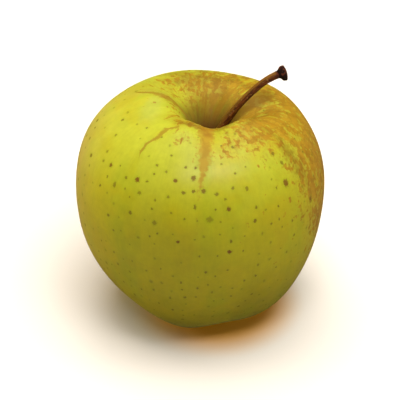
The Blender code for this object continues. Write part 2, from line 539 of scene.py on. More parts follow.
def ragged_mask_group() -> bpy.types.NodeTree:
    """A group that turns a soft field into a patch with a torn edge.

    It is a step about 0.5 of field + tear x noise, which is centred on 0, and goes on for the softness to
    both sides.

    Returns:
        The group.
    """
    kinds = {
        "Field": "NodeSocketFloat",
        "Place": "NodeSocketVector",
        "Scale": "NodeSocketFloat",
        "Tear": "NodeSocketFloat",
        "Softness": "NodeSocketFloat",
    }
    sheet, given, result = new_group("Ragged mask", kinds, "Mask")
    clouds = sheet.noise(given["Place"], given["Scale"], detail=3.0, roughness=0.56)
    centred = sheet.minus(clouds, 0.5)
    torn = sheet.plus(given["Field"], sheet.times(centred, given["Tear"]))
    low = sheet.minus(0.5, given["Softness"])
    high = sheet.plus(0.5, given["Softness"])
    sheet.feed(result, sheet.step(torn, low, high))
    return sheet.tree


def streaky_grain_group() -> bpy.types.NodeTree:
    """A group that gives noise drawn out along the third number of its place.

    Returns:
        The group.
    """
    kinds = {"Place": "NodeSocketVector", "Scale": "NodeSocketFloat", "Stretch": "NodeSocketFloat"}
    sheet, given, result = new_group("Streaky grain", kinds, "Value")
    across, beside, along = sheet.parts(given["Place"])
    shorter = sheet.math("DIVIDE", along, given["Stretch"])
    combined = sheet.add("ShaderNodeCombineXYZ")
    for socket, value in zip(combined.inputs, (across, beside, shorter)):
        sheet.feed(socket, value)
    sheet.feed(result, sheet.noise(combined.outputs[0], given["Scale"], detail=3.0, roughness=0.6))
    return sheet.tree


def fleck_group() -> bpy.types.NodeTree:
    """A group that gives small round flecks, each about a cell's own point and out to the given size.

    Returns:
        The group.
    """
    full_share = 0.6
    kinds = {"Place": "NodeSocketVector", "Scale": "NodeSocketFloat", "Size": "NodeSocketFloat"}
    sheet, given, result = new_group("Flecks", kinds, "Mask")
    cells = sheet.add("ShaderNodeTexVoronoi")
    sheet.feed(cells.inputs["Vector"], given["Place"])
    sheet.feed(cells.inputs["Scale"], given["Scale"])
    edge = sheet.times(given["Size"], full_share)
    outside = sheet.step(cells.outputs["Distance"], edge, given["Size"])
    sheet.feed(result, sheet.rest(outside))
    return sheet.tree


@dataclass(frozen=True)
class SharedEffects:
    """The node groups that more than one finish uses."""

    ragged: bpy.types.NodeTree = field(default_factory=ragged_mask_group)
    grain: bpy.types.NodeTree = field(default_factory=streaky_grain_group)
    flecks: bpy.types.NodeTree = field(default_factory=fleck_group)


def new_material(name: str) -> tuple[NodeSheet, bpy.types.Node, bpy.types.Material]:
    """A material with a Principled shader.

    Args:
        name: the material's name.

    Returns:
        The sheet to build it on, its shader node and the material.
    """
    made = bpy.data.materials.new(name)
    made.use_nodes = True
    return NodeSheet(made.node_tree), made.node_tree.nodes["Principled BSDF"], made


def bumped(sheet: NodeSheet, height: Socket, distance: float, strength: float = 1.0) -> Socket:
    """The normal of a surface raised by height x distance.

    Args:
        sheet: the tree it is built in.
        height: the height, about 0 to 1.
        distance: metres that a height of 1 stands for.
        strength: how much of it is used.

    Returns:
        The normal.
    """
    node = sheet.add("ShaderNodeBump")
    sheet.feed(node.inputs["Strength"], strength)
    sheet.feed(node.inputs["Distance"], distance)
    sheet.feed(node.inputs["Height"], height)
    return node.outputs["Normal"]


@dataclass(frozen=True)
class SkinFinish:
    """Waxy yellow-green skin with russet, lenticels, a streak, a scar and a crest line.

    It carries painted shade in the stalk cavity, on the base and in the fold right of the stalk, and a
    painted reflection along the left rim.

    Colours are linear. A scale is in clouds or cells to a metre where it is read by place.
    """

    crown: Colour = (0.490, 0.485, 0.027)
    waist: Colour = (0.50, 0.435, 0.003)
    # the base tone is darker than the waist as painted shade under the apple
    base: Colour = (0.375, 0.31, 0.003)
    green: Colour = (0.33, 0.39, 0.004)
    golden: Colour = (0.50, 0.385, 0.003)
    russet_pale: Colour = (0.46, 0.243, 0.009)
    russet_gold: Colour = (0.37, 0.160, 0.003)
    russet_dark: Colour = (0.22, 0.095, 0.003)
    # browned russet, also laid as painted shade with the stalk's painted shadow in the fold right of the
    # stalk
    toast_and_shadow: Colour = (0.22, 0.110, 0.003)
    streak: Colour = (0.43, 0.225, 0.010)
    streak_dark: Colour = (0.36, 0.165, 0.006)
    scar: Colour = (0.30, 0.145, 0.005)
    # a painted reflection of the surround, along the left rim
    painted_rim_sheen: Colour = (0.74, 0.50, 0.11)
    # the cavity's russet tan and olive, darkened as painted shade, and a brown painted shade deep in its
    # funnel
    cavity_tan_and_shade: Colour = (0.220, 0.118, 0.005)
    cavity_olive_and_shade: Colour = (0.180, 0.125, 0.004)
    cavity_painted_shade: Colour = (0.065, 0.017, 0.001)
    mark: Colour = (0.17, 0.105, 0.003)
    mark_brown: Colour = (0.20, 0.080, 0.004)
    gloss_roughness: float = 0.37
    russet_roughness: float = 0.65
    shine: float = 0.36
    wax: float = 0.04
    wax_roughness: float = 0.25
    # heights over the table between which one tone gives way to the next, and how far they wander; the base
    # tone below the waist is darker as painted shade
    waist_heights: tuple[float, float] = (0.008, 0.040)
    crown_heights: tuple[float, float] = (0.046, 0.070)
    height_drift: float = 0.030
    green_cover: float = 0.40
    golden_cover: float = 0.45
    fine_tones: tuple[float, float] = (-0.04, 0.04)
    mottle_tones: tuple[float, float] = (0.93, 1.05)
    cloud_tones: tuple[float, float] = (-0.07, 0.05)
    rim_sheen_cover: tuple[float, float] = (0.50, 0.85)
    # depths in the cavity at which the painted shade of tan and of brown, and the dullness, start and are
    # complete, and how far each goes; the dull one goes past 1, so that the deep part is duller than russet
    tan_shade_depths: tuple[float, float, float] = (0.20, 0.46, 0.85)
    brown_shade_depths: tuple[float, float, float] = (0.38, 0.80, 0.95)
    dull_depths: tuple[float, float, float] = (0.15, 0.45, 2.0)
    basin_green: float = 0.5
    russet_draw: float = 1.1
    fine_russet: float = 0.50
    russet_cover: float = 0.90
    vein_width: float = 0.06
    vein_cover: float = 0.45
    speck_cover: float = 0.4
    toast_and_shadow_cover: float = 0.80
    # for the streak, the scar and the crest line in turn
    line_scales: tuple[float, float, float] = (680.0, 900.0, 800.0)
    line_tears: tuple[float, float, float] = (2.5, 2.4, 1.8)
    # how much of a line's keep counts for its flecks, and how fast they thin out to the side
    line_fleck_shares: tuple[float, float] = (0.40, 0.17)
    line_fleck_cover: float = 0.7
    streak_cover: float = 0.80
    thin_line_cover: float = 0.72
    # offsets from a lenticel's middle, in its own radii, and distances from its edge, in millimetres
    mark_edge: tuple[float, float] = (0.55, 1.15)
    mark_raggedness: float = 1.8
    halo_edge: tuple[float, float] = (0.8, 2.6)
    halo_cover: float = 0.22
    mark_end: tuple[float, float] = (0.25, 0.45)
    brown_mark_tones: tuple[float, float] = (0.75, 0.95)
    peel_share: float = 0.35
    relief: float = 0.06 * MM
    relief_strength: float = 0.8

    def dress(self, made: bpy.types.Object, effects: SharedEffects) -> None:
        """Gives the fruit its skin.

        Args:
            made: the fruit, which carries the skin's fields.
            effects: the shared node groups.
        """
        sheet, shader, material = new_material("apple_skin")
        place = sheet.place()
        grain = sheet.read(SurfaceField.GRAIN).outputs["Vector"]
        ground = self._ground(sheet, effects, place, grain)
        hollow, basin, sheen_flank = sheet.parts(sheet.read(SurfaceField.HOLLOWS).outputs["Vector"])

        # the painted reflection of the surround along the left rim, broken into patches
        patchy = sheet.span(sheet.noise(place, 160.0), 0.3, 0.7, *self.rim_sheen_cover)
        sheened = sheet.times(sheen_flank, patchy)
        colour = sheet.blend(sheened, ground, self.painted_rim_sheen)
        colour, net = self._russeted(sheet, effects, place, grain, colour)
        # the cavity's russet tan and olive streaks, darkened with depth as painted shade, then brown
        # painted shade deep in the funnel
        streaks = sheet.group(effects.grain, place=grain, scale=6.0, stretch=1.2)
        tan = sheet.blend(sheet.step(streaks, 0.42, 0.62), self.cavity_tan_and_shade, self.cavity_olive_and_shade)
        colour = sheet.blend(sheet.step(hollow, *self.tan_shade_depths), colour, tan)
        colour = sheet.blend(sheet.step(hollow, *self.brown_shade_depths), colour, self.cavity_painted_shade)
        colour = sheet.blend(sheet.times(basin, self.basin_green), colour, self.green)

        lines, line_mask = self._lines(sheet, effects, place, colour)
        marks, mark_mask = self._marks(sheet, place, lines)
        rough = sheet.larger(net, line_mask)
        rough = sheet.larger(rough, mark_mask)
        dull = sheet.larger(rough, sheet.step(hollow, *self.dull_depths))
        sheet.feed(shader.inputs["Base Color"], marks)
        low, high = self.gloss_roughness, self.russet_roughness
        added = sheet.times(dull, high - low)
        sheet.feed(shader.inputs["Roughness"], sheet.plus(low, added))
        shader.inputs["Specular IOR Level"].default_value = self.shine
        shader.inputs["Coat Weight"].default_value = self.wax
        shader.inputs["Coat Roughness"].default_value = self.wax_roughness
        sheet.feed(shader.inputs["Normal"], self._normal(sheet, place, rough, mark_mask))
        made.data.materials.append(material)

    def _ground(self, sheet: NodeSheet, effects: SharedEffects, place: Socket, grain: Socket) -> Socket:
        """The unmarked skin: three tones from base to crown, green patches and fine streaks.

        The base tone is darker, as painted shade under the apple.

        Args:
            sheet: the tree it is built in.
            effects: the shared node groups.
            place: object coordinates.
            grain: the field whose third number runs from stalk to calyx.

        Returns:
            Its colour.
        """
        height = sheet.parts(place)[2]
        drift = sheet.minus(sheet.noise(grain, 1.6), 0.5)
        level = sheet.plus(height, sheet.times(drift, self.height_drift))
        # below the waist the darker base tone is painted shade
        colour = sheet.blend(sheet.step(level, *self.waist_heights), self.base, self.waist)
        colour = sheet.blend(sheet.step(level, *self.crown_heights), colour, self.crown)
        flush = sheet.step(sheet.group(effects.grain, place=grain, scale=2.4, stretch=1.6), 0.50, 0.72)
        colour = sheet.blend(sheet.times(flush, self.green_cover), colour, self.green)
        patchy = sheet.step(sheet.noise(place, 95.0, detail=3.0), 0.46, 0.66)
        colour = sheet.blend(sheet.times(patchy, self.golden_cover), colour, self.golden)
        fine = sheet.group(effects.grain, place=grain, scale=46.0, stretch=3.0)
        mottle = sheet.noise(place, 560.0, detail=4.0, roughness=0.65)
        clouds = sheet.noise(place, 210.0, detail=3.0, roughness=0.6)
        streaked = sheet.span(fine, 0.25, 0.75, *self.fine_tones)
        tone = sheet.plus(streaked, sheet.span(mottle, 0.25, 0.75, *self.mottle_tones))
        tone = sheet.plus(tone, sheet.span(clouds, 0.3, 0.7, *self.cloud_tones))
        return sheet.shade(colour, tone)

    def _russeted(
        self, sheet: NodeSheet, effects: SharedEffects, place: Socket, grain: Socket, under: Socket
    ) -> tuple[Socket, Socket]:
        """The russet: a torn patch with gaps, two golden tones, toasted places, dark veins and specks.

        One of the toasted places is painted shade with the stalk's painted shadow, in the fold right of the
        stalk.

        Args:
            sheet: the tree it is built in.
            effects: the shared node groups.
            place: object coordinates.
            grain: the field whose third number runs from stalk to calyx.
            under: the colour it lies on.

        Returns:
            The colour with it, and where it is.
        """
        russet = sheet.read(SurfaceField.RUSSET).outputs["Fac"]
        toast_and_shadow = sheet.read(SurfaceField.TOAST_AND_SHADOW).outputs["Fac"]
        drawn = sheet.minus(sheet.noise(grain, 17.0, detail=2.0), 0.5)
        streaky = sheet.plus(russet, sheet.times(drawn, self.russet_draw))
        ragged = effects.ragged
        torn = sheet.group(ragged, field=streaky, place=place, scale=560.0, tear=1.5, softness=0.13)
        fine = sheet.group(ragged, field=russet, place=place, scale=1100.0, tear=1.3, softness=0.25)
        net = sheet.larger(torn, sheet.times(fine, self.fine_russet))
        tone = sheet.group(effects.grain, place=grain, scale=12.0, stretch=1.3)
        gold = sheet.blend(sheet.step(tone, 0.36, 0.64), self.russet_gold, self.russet_pale)
        wander = sheet.minus(sheet.noise(place, 260.0, detail=4.0), 0.5)
        off_vein = sheet.step(sheet.math("ABSOLUTE", wander), 0.0, self.vein_width)
        veins = sheet.times(sheet.rest(off_vein), self.vein_cover)
        specks = sheet.group(effects.flecks, place=place, scale=520.0, size=0.30)
        dark = sheet.larger(veins, sheet.times(specks, self.speck_cover))
        gold = sheet.blend(dark, gold, self.russet_dark)
        colour = sheet.blend(sheet.times(net, self.russet_cover), under, gold)
        # browned russet, and painted shade with the stalk's painted shadow in the fold right of the stalk
        browned_and_shaded = sheet.group(ragged, field=toast_and_shadow, place=place, scale=420.0, tear=1.2, softness=0.32)
        return sheet.blend(sheet.times(browned_and_shaded, self.toast_and_shadow_cover), colour, self.toast_and_shadow), net

    def _lines(
        self, sheet: NodeSheet, effects: SharedEffects, place: Socket, under: Socket
    ) -> tuple[Socket, Socket]:
        """The streak, the scar and the crest line, each a band about a line that the mesh carries.

        Args:
            sheet: the tree it is built in.
            effects: the shared node groups.
            place: object coordinates.
            under: the colour they lie on.

        Returns:
            The colour with them, and where they are.
        """
        sides = sheet.parts(sheet.read(SurfaceField.LINE_SIDES).outputs["Vector"])
        keeps = sheet.parts(sheet.read(SurfaceField.LINE_KEEPS).outputs["Vector"])
        masks = []
        staying, thinning = self.line_fleck_shares
        for side, keep, scale, tear in zip(sides, keeps, self.line_scales, self.line_tears):
            away = sheet.math("ABSOLUTE", side)
            closeness = sheet.minus(keep, away)
            solid = sheet.group(
                effects.ragged, field=closeness, place=place, scale=scale, tear=tear, softness=0.50
            )
            kept = sheet.times(keep, staying)
            likely = sheet.minus(kept, sheet.times(away, thinning))
            flecks = sheet.group(
                effects.ragged, field=likely, place=place, scale=1300.0, tear=1.6, softness=0.10
            )
            faint = sheet.times(flecks, self.line_fleck_cover)
            masks.append(sheet.larger(solid, faint))
        streak, scar, crest = masks
        tone = sheet.step(sheet.noise(place, 480.0, detail=3.0), 0.40, 0.62)
        band = sheet.blend(tone, self.streak, self.streak_dark)
        colour = sheet.blend(sheet.times(streak, self.streak_cover), under, band)
        thin = sheet.larger(scar, crest)
        colour = sheet.blend(sheet.times(thin, self.thin_line_cover), colour, self.scar)
        return colour, sheet.larger(streak, thin)

    def _marks(self, sheet: NodeSheet, place: Socket, under: Socket) -> tuple[Socket, Socket]:
        """The lenticels: a ragged dark core about each one's middle, and a faint halo round it.

        Args:
            sheet: the tree it is built in.
            place: object coordinates.
            under: the colour they lie on.

        Returns:
            The colour with them, and where the cores are.
        """
        offset = sheet.length(sheet.read(SurfaceField.MARK_OFFSET).outputs["Vector"])
        reach = sheet.read(SurfaceField.MARK_REACH).outputs["Fac"]
        tone = sheet.read(SurfaceField.MARK_TONE).outputs["Fac"]
        wander = sheet.minus(sheet.noise(place, 2200.0, detail=3.0), 0.5)
        ragged = sheet.plus(offset, sheet.times(wander, self.mark_raggedness))
        near = sheet.rest(sheet.step(reach, *self.mark_end))
        core = sheet.rest(sheet.step(ragged, *self.mark_edge))
        halo = sheet.rest(sheet.step(offset, *self.halo_edge))
        core = sheet.times(core, near)
        halo = sheet.times(sheet.times(halo, near), self.halo_cover)
        pigment = sheet.blend(sheet.step(tone, *self.brown_mark_tones), self.mark, self.mark_brown)
        colour = sheet.blend(halo, under, self.green)
        strength = sheet.times(core, tone)
        return sheet.blend(strength, colour, pigment), strength

    def _normal(self, sheet: NodeSheet, place: Socket, rough: Socket, marks: Socket) -> Socket:
        """Fine relief: a faint orange-peel all over, a rough crust on russet, and sunken lenticels.

        Args:
            sheet: the tree it is built in.
            place: object coordinates.
            rough: where the skin is russet.
            marks: where the lenticels are.

        Returns:
            The normal.
        """
        peel = sheet.times(sheet.noise(place, 420.0, detail=2.0), self.peel_share)
        crust = sheet.times(sheet.noise(place, 1700.0, detail=4.0), rough)
        height = sheet.minus(sheet.plus(peel, crust), marks)
        return bumped(sheet, height, self.relief, strength=self.relief_strength)


@dataclass(frozen=True)
class BarkFinish:
    """Dry reddish brown bark of the stalk, nearly black at its end pad, with painted shade and highlights.
    """

    # lit is the bark's tone in light; deep is painted shade in the grooves and on the lower side, gold a
    # painted highlight on the upper side
    lit: Colour = (0.185, 0.048, 0.005)
    deep: Colour = (0.048, 0.009, 0.002)
    green: Colour = (0.16, 0.075, 0.006)
    gold: Colour = (0.25, 0.125, 0.008)
    pad: Colour = (0.012, 0.004, 0.002)
    pad_red: Colour = (0.10, 0.022, 0.007)
    speck: Colour = (0.38, 0.20, 0.05)
    roughness: float = 0.52
    shine: float = 0.30
    speck_cover: float = 0.45
    # how far round to the stalk's lower side the painted shade, and to its upper side the painted
    # highlight, starts and is complete, and how far it goes
    shaded_side: tuple[float, float, float] = (0.0, 0.9, 0.55)
    highlight_side: tuple[float, float, float] = (0.45, 0.95, 0.45)
    groove_roughness: float = 0.15
    pad_roughness: float = 0.25
    relief: float = 0.12 * MM

    def dress(self, made: bpy.types.Object, effects: SharedEffects) -> None:
        """Gives the stalk its bark.

        Args:
            made: the stalk, which carries its grain and how far along each point is.
            effects: the shared node groups.
        """
        sheet, shader, material = new_material("stalk_bark")
        place = sheet.place()
        grain = sheet.read(SurfaceField.GRAIN).outputs["Vector"]
        along = sheet.read(SurfaceField.ALONG).outputs["Fac"]
        ribs = sheet.group(effects.grain, place=grain, scale=3.2, stretch=6.0)
        # the ribs painted lit on their ridges and in shade in their grooves
        colour = sheet.blend(sheet.step(ribs, 0.36, 0.62), self.deep, self.lit)
        mottled = sheet.step(sheet.noise(place, 420.0, detail=3.0), 0.55, 0.75, 0.5)
        colour = sheet.blend(mottled, colour, self.green)
        specks = sheet.group(effects.flecks, place=place, scale=900.0, size=0.26)
        colour = sheet.blend(sheet.times(specks, self.speck_cover), colour, self.speck)
        # painted shade on the stalk's lower side and a painted highlight on its upper side
        lower = sheet.parts(grain)[0]
        colour = sheet.blend(sheet.step(lower, *self.shaded_side), colour, self.deep)
        upper = sheet.times(lower, -1.0)
        colour = sheet.blend(sheet.step(upper, *self.highlight_side), colour, self.gold)
        end = sheet.group(effects.ragged, field=along, place=place, scale=900.0, tear=0.25, softness=0.12)
        reddish = sheet.step(sheet.noise(place, 700.0, detail=2.0), 0.50, 0.62)
        colour = sheet.blend(end, colour, sheet.blend(reddish, self.pad, self.pad_red))
        sheet.feed(shader.inputs["Base Color"], colour)
        grooved = sheet.span(ribs, 0.3, 0.7, self.groove_roughness, 0.0)
        rough = sheet.plus(grooved, sheet.times(end, self.pad_roughness))
        sheet.feed(shader.inputs["Roughness"], sheet.plus(rough, self.roughness))
        shader.inputs["Specular IOR Level"].default_value = self.shine
        height = sheet.plus(ribs, sheet.times(sheet.noise(place, 1500.0), 0.5))
        sheet.feed(shader.inputs["Normal"], bumped(sheet, height, self.relief))
        made.data.materials.append(material)


@dataclass(frozen=True)
class SepalFinish:
    """Dry maroon-brown sepal, paler where it is downy."""

    deep: Colour = (0.050, 0.009, 0.007)
    warm: Colour = (0.22, 0.050, 0.020)
    down: Colour = (0.42, 0.36, 0.20)
    roughness: float = 0.75
    downy_along: float = 0.75
    down_cover: float = 0.5
    relief: float = 0.10 * MM

    def dress(self, made: bpy.types.Object, effects: SharedEffects) -> None:
        """Gives the calyx its dry surface.

        Args:
            made: the piece, which carries its grain and how far along each point is.
            effects: the shared node groups.
        """
        sheet, shader, material = new_material("dried_sepal")
        place = sheet.place()
        grain = sheet.read(SurfaceField.GRAIN).outputs["Vector"]
        along = sheet.read(SurfaceField.ALONG).outputs["Fac"]
        veins = sheet.group(effects.grain, place=grain, scale=4.0, stretch=5.0)
        colour = sheet.blend(sheet.step(veins, 0.35, 0.65), self.deep, self.warm)
        downy = sheet.minus(self.downy_along, along)
        mask = sheet.group(effects.ragged, field=downy, place=place, scale=1500.0, tear=0.9, softness=0.25)
        colour = sheet.blend(sheet.times(mask, self.down_cover), colour, self.down)
        sheet.feed(shader.inputs["Base Color"], colour)
        shader.inputs["Roughness"].default_value = self.roughness
        sheet.feed(shader.inputs["Normal"], bumped(sheet, veins, self.relief))
        made.data.materials.append(material)


@dataclass(frozen=True)
class DownFinish:
    """Pale woolly hairs in the calyx basin, browner towards their tips."""

    root: Colour = (0.72, 0.70, 0.48)
    tip: Colour = (0.62, 0.54, 0.34)
    roughness: float = 0.8

    def dress(self, made: bpy.types.Object, effects: SharedEffects) -> None:
        """Gives the hairs their colour, which changes along each hair and from one to the next.

        Args:
            made: the hairs, which carry how far along each point is.
            effects: the shared node groups.
        """
        sheet, shader, material = new_material("calyx_down")
        place = sheet.place()
        along = sheet.read(SurfaceField.ALONG).outputs["Fac"]
        tint = sheet.group(effects.ragged, field=along, place=place, scale=800.0, tear=0.8, softness=0.4)
        sheet.feed(shader.inputs["Base Color"], sheet.blend(tint, self.root, self.tip))
        shader.inputs["Roughness"].default_value = self.roughness
        made.data.materials.append(material)


# The apple


@dataclass(frozen=True)
class Fold:
    """A valley, or with a depth below 0 a ridge, that crosses the rim of the stalk cavity.

    The angle and the half width are in degrees. The depth, the distance and the reach are in millimetres.
    """

    angle: float
    half_width: float
    depth: float
    distance: float
    reach: float


@dataclass(frozen=True)
class AppleForm:
    """The apple's form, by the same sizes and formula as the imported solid."""

    body_radius: float = 40.4 * MM
    body_half_height: float = 38.9 * MM
    squareness: float = 2.25
    taper: float = 0.20
    lean: float = math.radians(-1.0)
    saucer_depth: float = 9.6 * MM
    saucer_radius: float = 14.5 * MM
    saucer_centre: tuple[float, float] = (4.0 * MM, 6.5 * MM)
    funnel_depth: float = 13.0 * MM
    funnel_radius: float = 6.6 * MM
    funnel_centre: tuple[float, float] = (3.6 * MM, 0.3 * MM)
    basin_depth: float = 11.5 * MM
    basin_radius: float = 9.5 * MM
    lobes: int = 5
    lobe_angle: float = math.radians(-108)
    base_lobe_swell: float = 0.030
    base_lobe_drop: float = 0.8 * MM
    base_lobe_span: tuple[float, float] = (-0.25, 0.95)
    base_ring: tuple[float, float] = (15.2 * MM, 7.6 * MM)
    shoulder_lobe_swell: float = 0.012
    shoulder_lobe_rise: float = 0.7 * MM
    shoulder_lobe_span: tuple[float, float] = (0.2, 0.9)
    rim_ring: tuple[float, float] = (14.5 * MM, 7.25 * MM)
    # how much the outline swells, how many times round and towards which angle
    unevenness: tuple[tuple[float, int, float], ...] = (
        (0.012, 2, math.radians(20)),
        (0.009, 3, math.radians(-60)),
    )
    folds: tuple[Fold, ...] = (
        Fold(angle=10, half_width=24, depth=2.2, distance=15.0, reach=8.0),
        Fold(angle=-26, half_width=16, depth=-0.8, distance=15.0, reach=8.0),
        Fold(angle=114, half_width=22, depth=2.6, distance=16.0, reach=8.0),
        Fold(angle=165, half_width=24, depth=-2.2, distance=11.0, reach=7.0),
    )
    foot_flat: float = 0.55 * MM
    crowding: float = 0.42
    frame_rows: int = 184
    frame_columns: int = 416
    floor_search: float = 0.35
    floor_rows: int = 46
    floor_columns: int = 104

    def _raw(self, polar: Array, around: Array) -> tuple[Array, Array, Array]:
        """The form before it is stood up.

        It is a squared ellipsoid that narrows downwards and swells in five lobes, less a wide bell and a
        narrow bell for the cavity and the folds of its rim, plus a bell for the basin.

        Args:
            polar: angle from the stalk end.
            around: angle round the fruit from +X.

        Returns:
            x, y and z.
        """
        rise, out = np.cos(polar), np.sin(polar)
        power = 2.0 / self.squareness
        level = np.sign(rise) * np.abs(rise) ** power
        radius = self.body_radius * out**power * (1.0 - self.taper * (1.0 - level) / 2.0)
        lobe = np.cos(self.lobes * (around - self.lobe_angle))
        swell = 1.0 + lobe * self.base_lobe_swell * smooth_step(-level, *self.base_lobe_span)
        swell = swell + lobe * self.shoulder_lobe_swell * smooth_step(level, *self.shoulder_lobe_span)
        for share, waves, peak in self.unevenness:
            swell = swell + share * np.cos(waves * (around - peak)) * out
        radius = radius * swell
        x, y = radius * np.cos(around), radius * np.sin(around)
        cavity = self.saucer_depth * bell(self.from_saucer(x, y), self.saucer_radius)
        cavity = cavity + self.funnel_depth * bell(self.from_funnel(x, y), self.funnel_radius)
        for fold in self.folds:
            turn = bell(turned(around - math.radians(fold.angle)), math.radians(fold.half_width))
            cavity = cavity + fold.depth * MM * turn * bell(radius - fold.distance * MM, fold.reach * MM)
        crown = lobe * self.shoulder_lobe_rise * bell(radius - self.rim_ring[0], self.rim_ring[1]) - cavity
        base = self.basin_depth * bell(radius, self.basin_radius)
        base = base - lobe * self.base_lobe_drop * bell(radius - self.base_ring[0], self.base_ring[1])
        return x, y, self.body_half_height * level + np.where(level > 0.0, crown, base)

    def from_saucer(self, x: Array, y: Array) -> Array:
        """Distance from the middle of the cavity's saucer, seen from above."""
        return np.hypot(x - self.saucer_centre[0], y - self.saucer_centre[1])

    def from_funnel(self, x: Array, y: Array) -> Array:
        """Distance from the middle of the cavity's funnel, seen from above."""
        return np.hypot(x - self.funnel_centre[0], y - self.funnel_centre[1])

    def crowded(self, polar: Array) -> Array:
        """The polar angles drawn towards both ends, where the shape turns fastest."""
        return polar - self.crowding * np.sin(2.0 * polar) / 2.0

    def _stood(self, x: Array, y: Array, z: Array, lowest: float) -> tuple[Array, Array, Array]:
        """Points set on the table, leaning sideways, with the feet pressed flat."""
        z = z - lowest - self.foot_flat
        return x + math.tan(self.lean) * z, y, np.maximum(z, 0.0)

    @cached_property
    def seat(self) -> tuple[float, float, float]:
        """How the raw form is stood up.

        Returns:
            The height of its lowest foot, and the x and y of the middle of its outline.
        """
        polar, around = np.meshgrid(
            self.crowded(np.linspace(0.0, math.pi, self.frame_rows + 1)),
            np.linspace(0.0, 2.0 * math.pi, self.frame_columns, endpoint=False),
        )
        x, y, z = self._raw(polar, around)
        lowest = float(z.min())
        x, y, _ = self._stood(x, y, z, lowest)
        return lowest, float(x.min() + x.max()) / 2.0, float(y.min() + y.max()) / 2.0

    def surface(self, polar: Array, around: Array) -> Array:
        """Points of the skin in the part's own frame.

        Args:
            polar: angle from the stalk end.
            around: angle round the fruit from +X.

        Returns:
            One point for each pair of angles.
        """
        lowest, middle_x, middle_y = self.seat
        x, y, z = self._stood(*self._raw(polar, around), lowest)
        return np.stack([x - middle_x, y - middle_y, z], axis=-1)

    def cavity_floor(self) -> Array:
        """The lowest point of the stalk cavity.

        Returns:
            The lowest of a net of points about the stalk's end.
        """
        polar, around = np.meshgrid(
            np.linspace(0.0, self.floor_search, self.floor_rows),
            np.linspace(0.0, 2.0 * math.pi, self.floor_columns, endpoint=False),
        )
        points = self.surface(polar, around).reshape(-1, 3)
        return points[points[:, 2].argmin()]

    def basin_roof(self) -> Array:
        """The highest point of the calyx basin."""
        return self.surface(np.array([math.pi]), np.array([0.0]))[0]


@dataclass(frozen=True)
class PhotoView:
    """Where the photograph was taken from.

    Places seen in it are given in millimetres right of and above the middle of the apple's outline, in the
    plane through the aim that is square to the view.
    """

    distance: float = 0.9
    elevation: float = math.radians(37)
    aim_height: float = 35.5 * MM

    def axes(self) -> tuple[Array, Array, Array]:
        """The directions to the right, up and back to the viewer."""
        rise, level = math.sin(self.elevation), math.cos(self.elevation)
        return np.array([1.0, 0.0, 0.0]), np.array([0.0, rise, level]), np.array([0.0, -level, rise])

    def eye(self) -> Array:
        """Where the viewer's eye is."""
        return self.axes()[2] * self.distance + np.array([0.0, 0.0, self.aim_height])

    def plane(self, points: Array) -> tuple[Array, Array, Array]:
        """Where points appear.

        Args:
            points: points in the part's frame.

        Returns:
            How far right and how far up each appears, and how far away it is, in metres.
        """
        right, up, back = self.axes()
        away = points - self.eye()
        depth = -(away @ back)
        return (away @ right) / depth * self.distance, (away @ up) / depth * self.distance, depth


@dataclass(frozen=True)
class Track:
    """A line on the skin that runs outwards from the cavity and dies away at its outer end.

    Its knots give the polar angle and the angle round the fruit in degrees, and the half width in
    millimetres. The fade is the polar angle, in degrees, over which it dies away.
    """

    knots: tuple[tuple[float, float, float], ...]
    fade: float


@dataclass(frozen=True)
class Patch:
    """A soft patch about a place: strength x a bell over the polar angle x a bell round the fruit.

    The angles are in degrees. A strength below 0 takes away what other patches give.
    """

    polar: float
    around: float
    half_polar: float
    half_around: float
    strength: float

    def strength_at(self, polar: Array, around: Array) -> Array:
        """How strong the patch is.

        Args:
            polar: angle from the stalk end.
            around: angle round the fruit.

        Returns:
            Its strength at each pair of angles.
        """
        down = bell(polar - math.radians(self.polar), math.radians(self.half_polar))
        beside = bell(turned(around - math.radians(self.around)), math.radians(self.half_around))
        return self.strength * down * beside


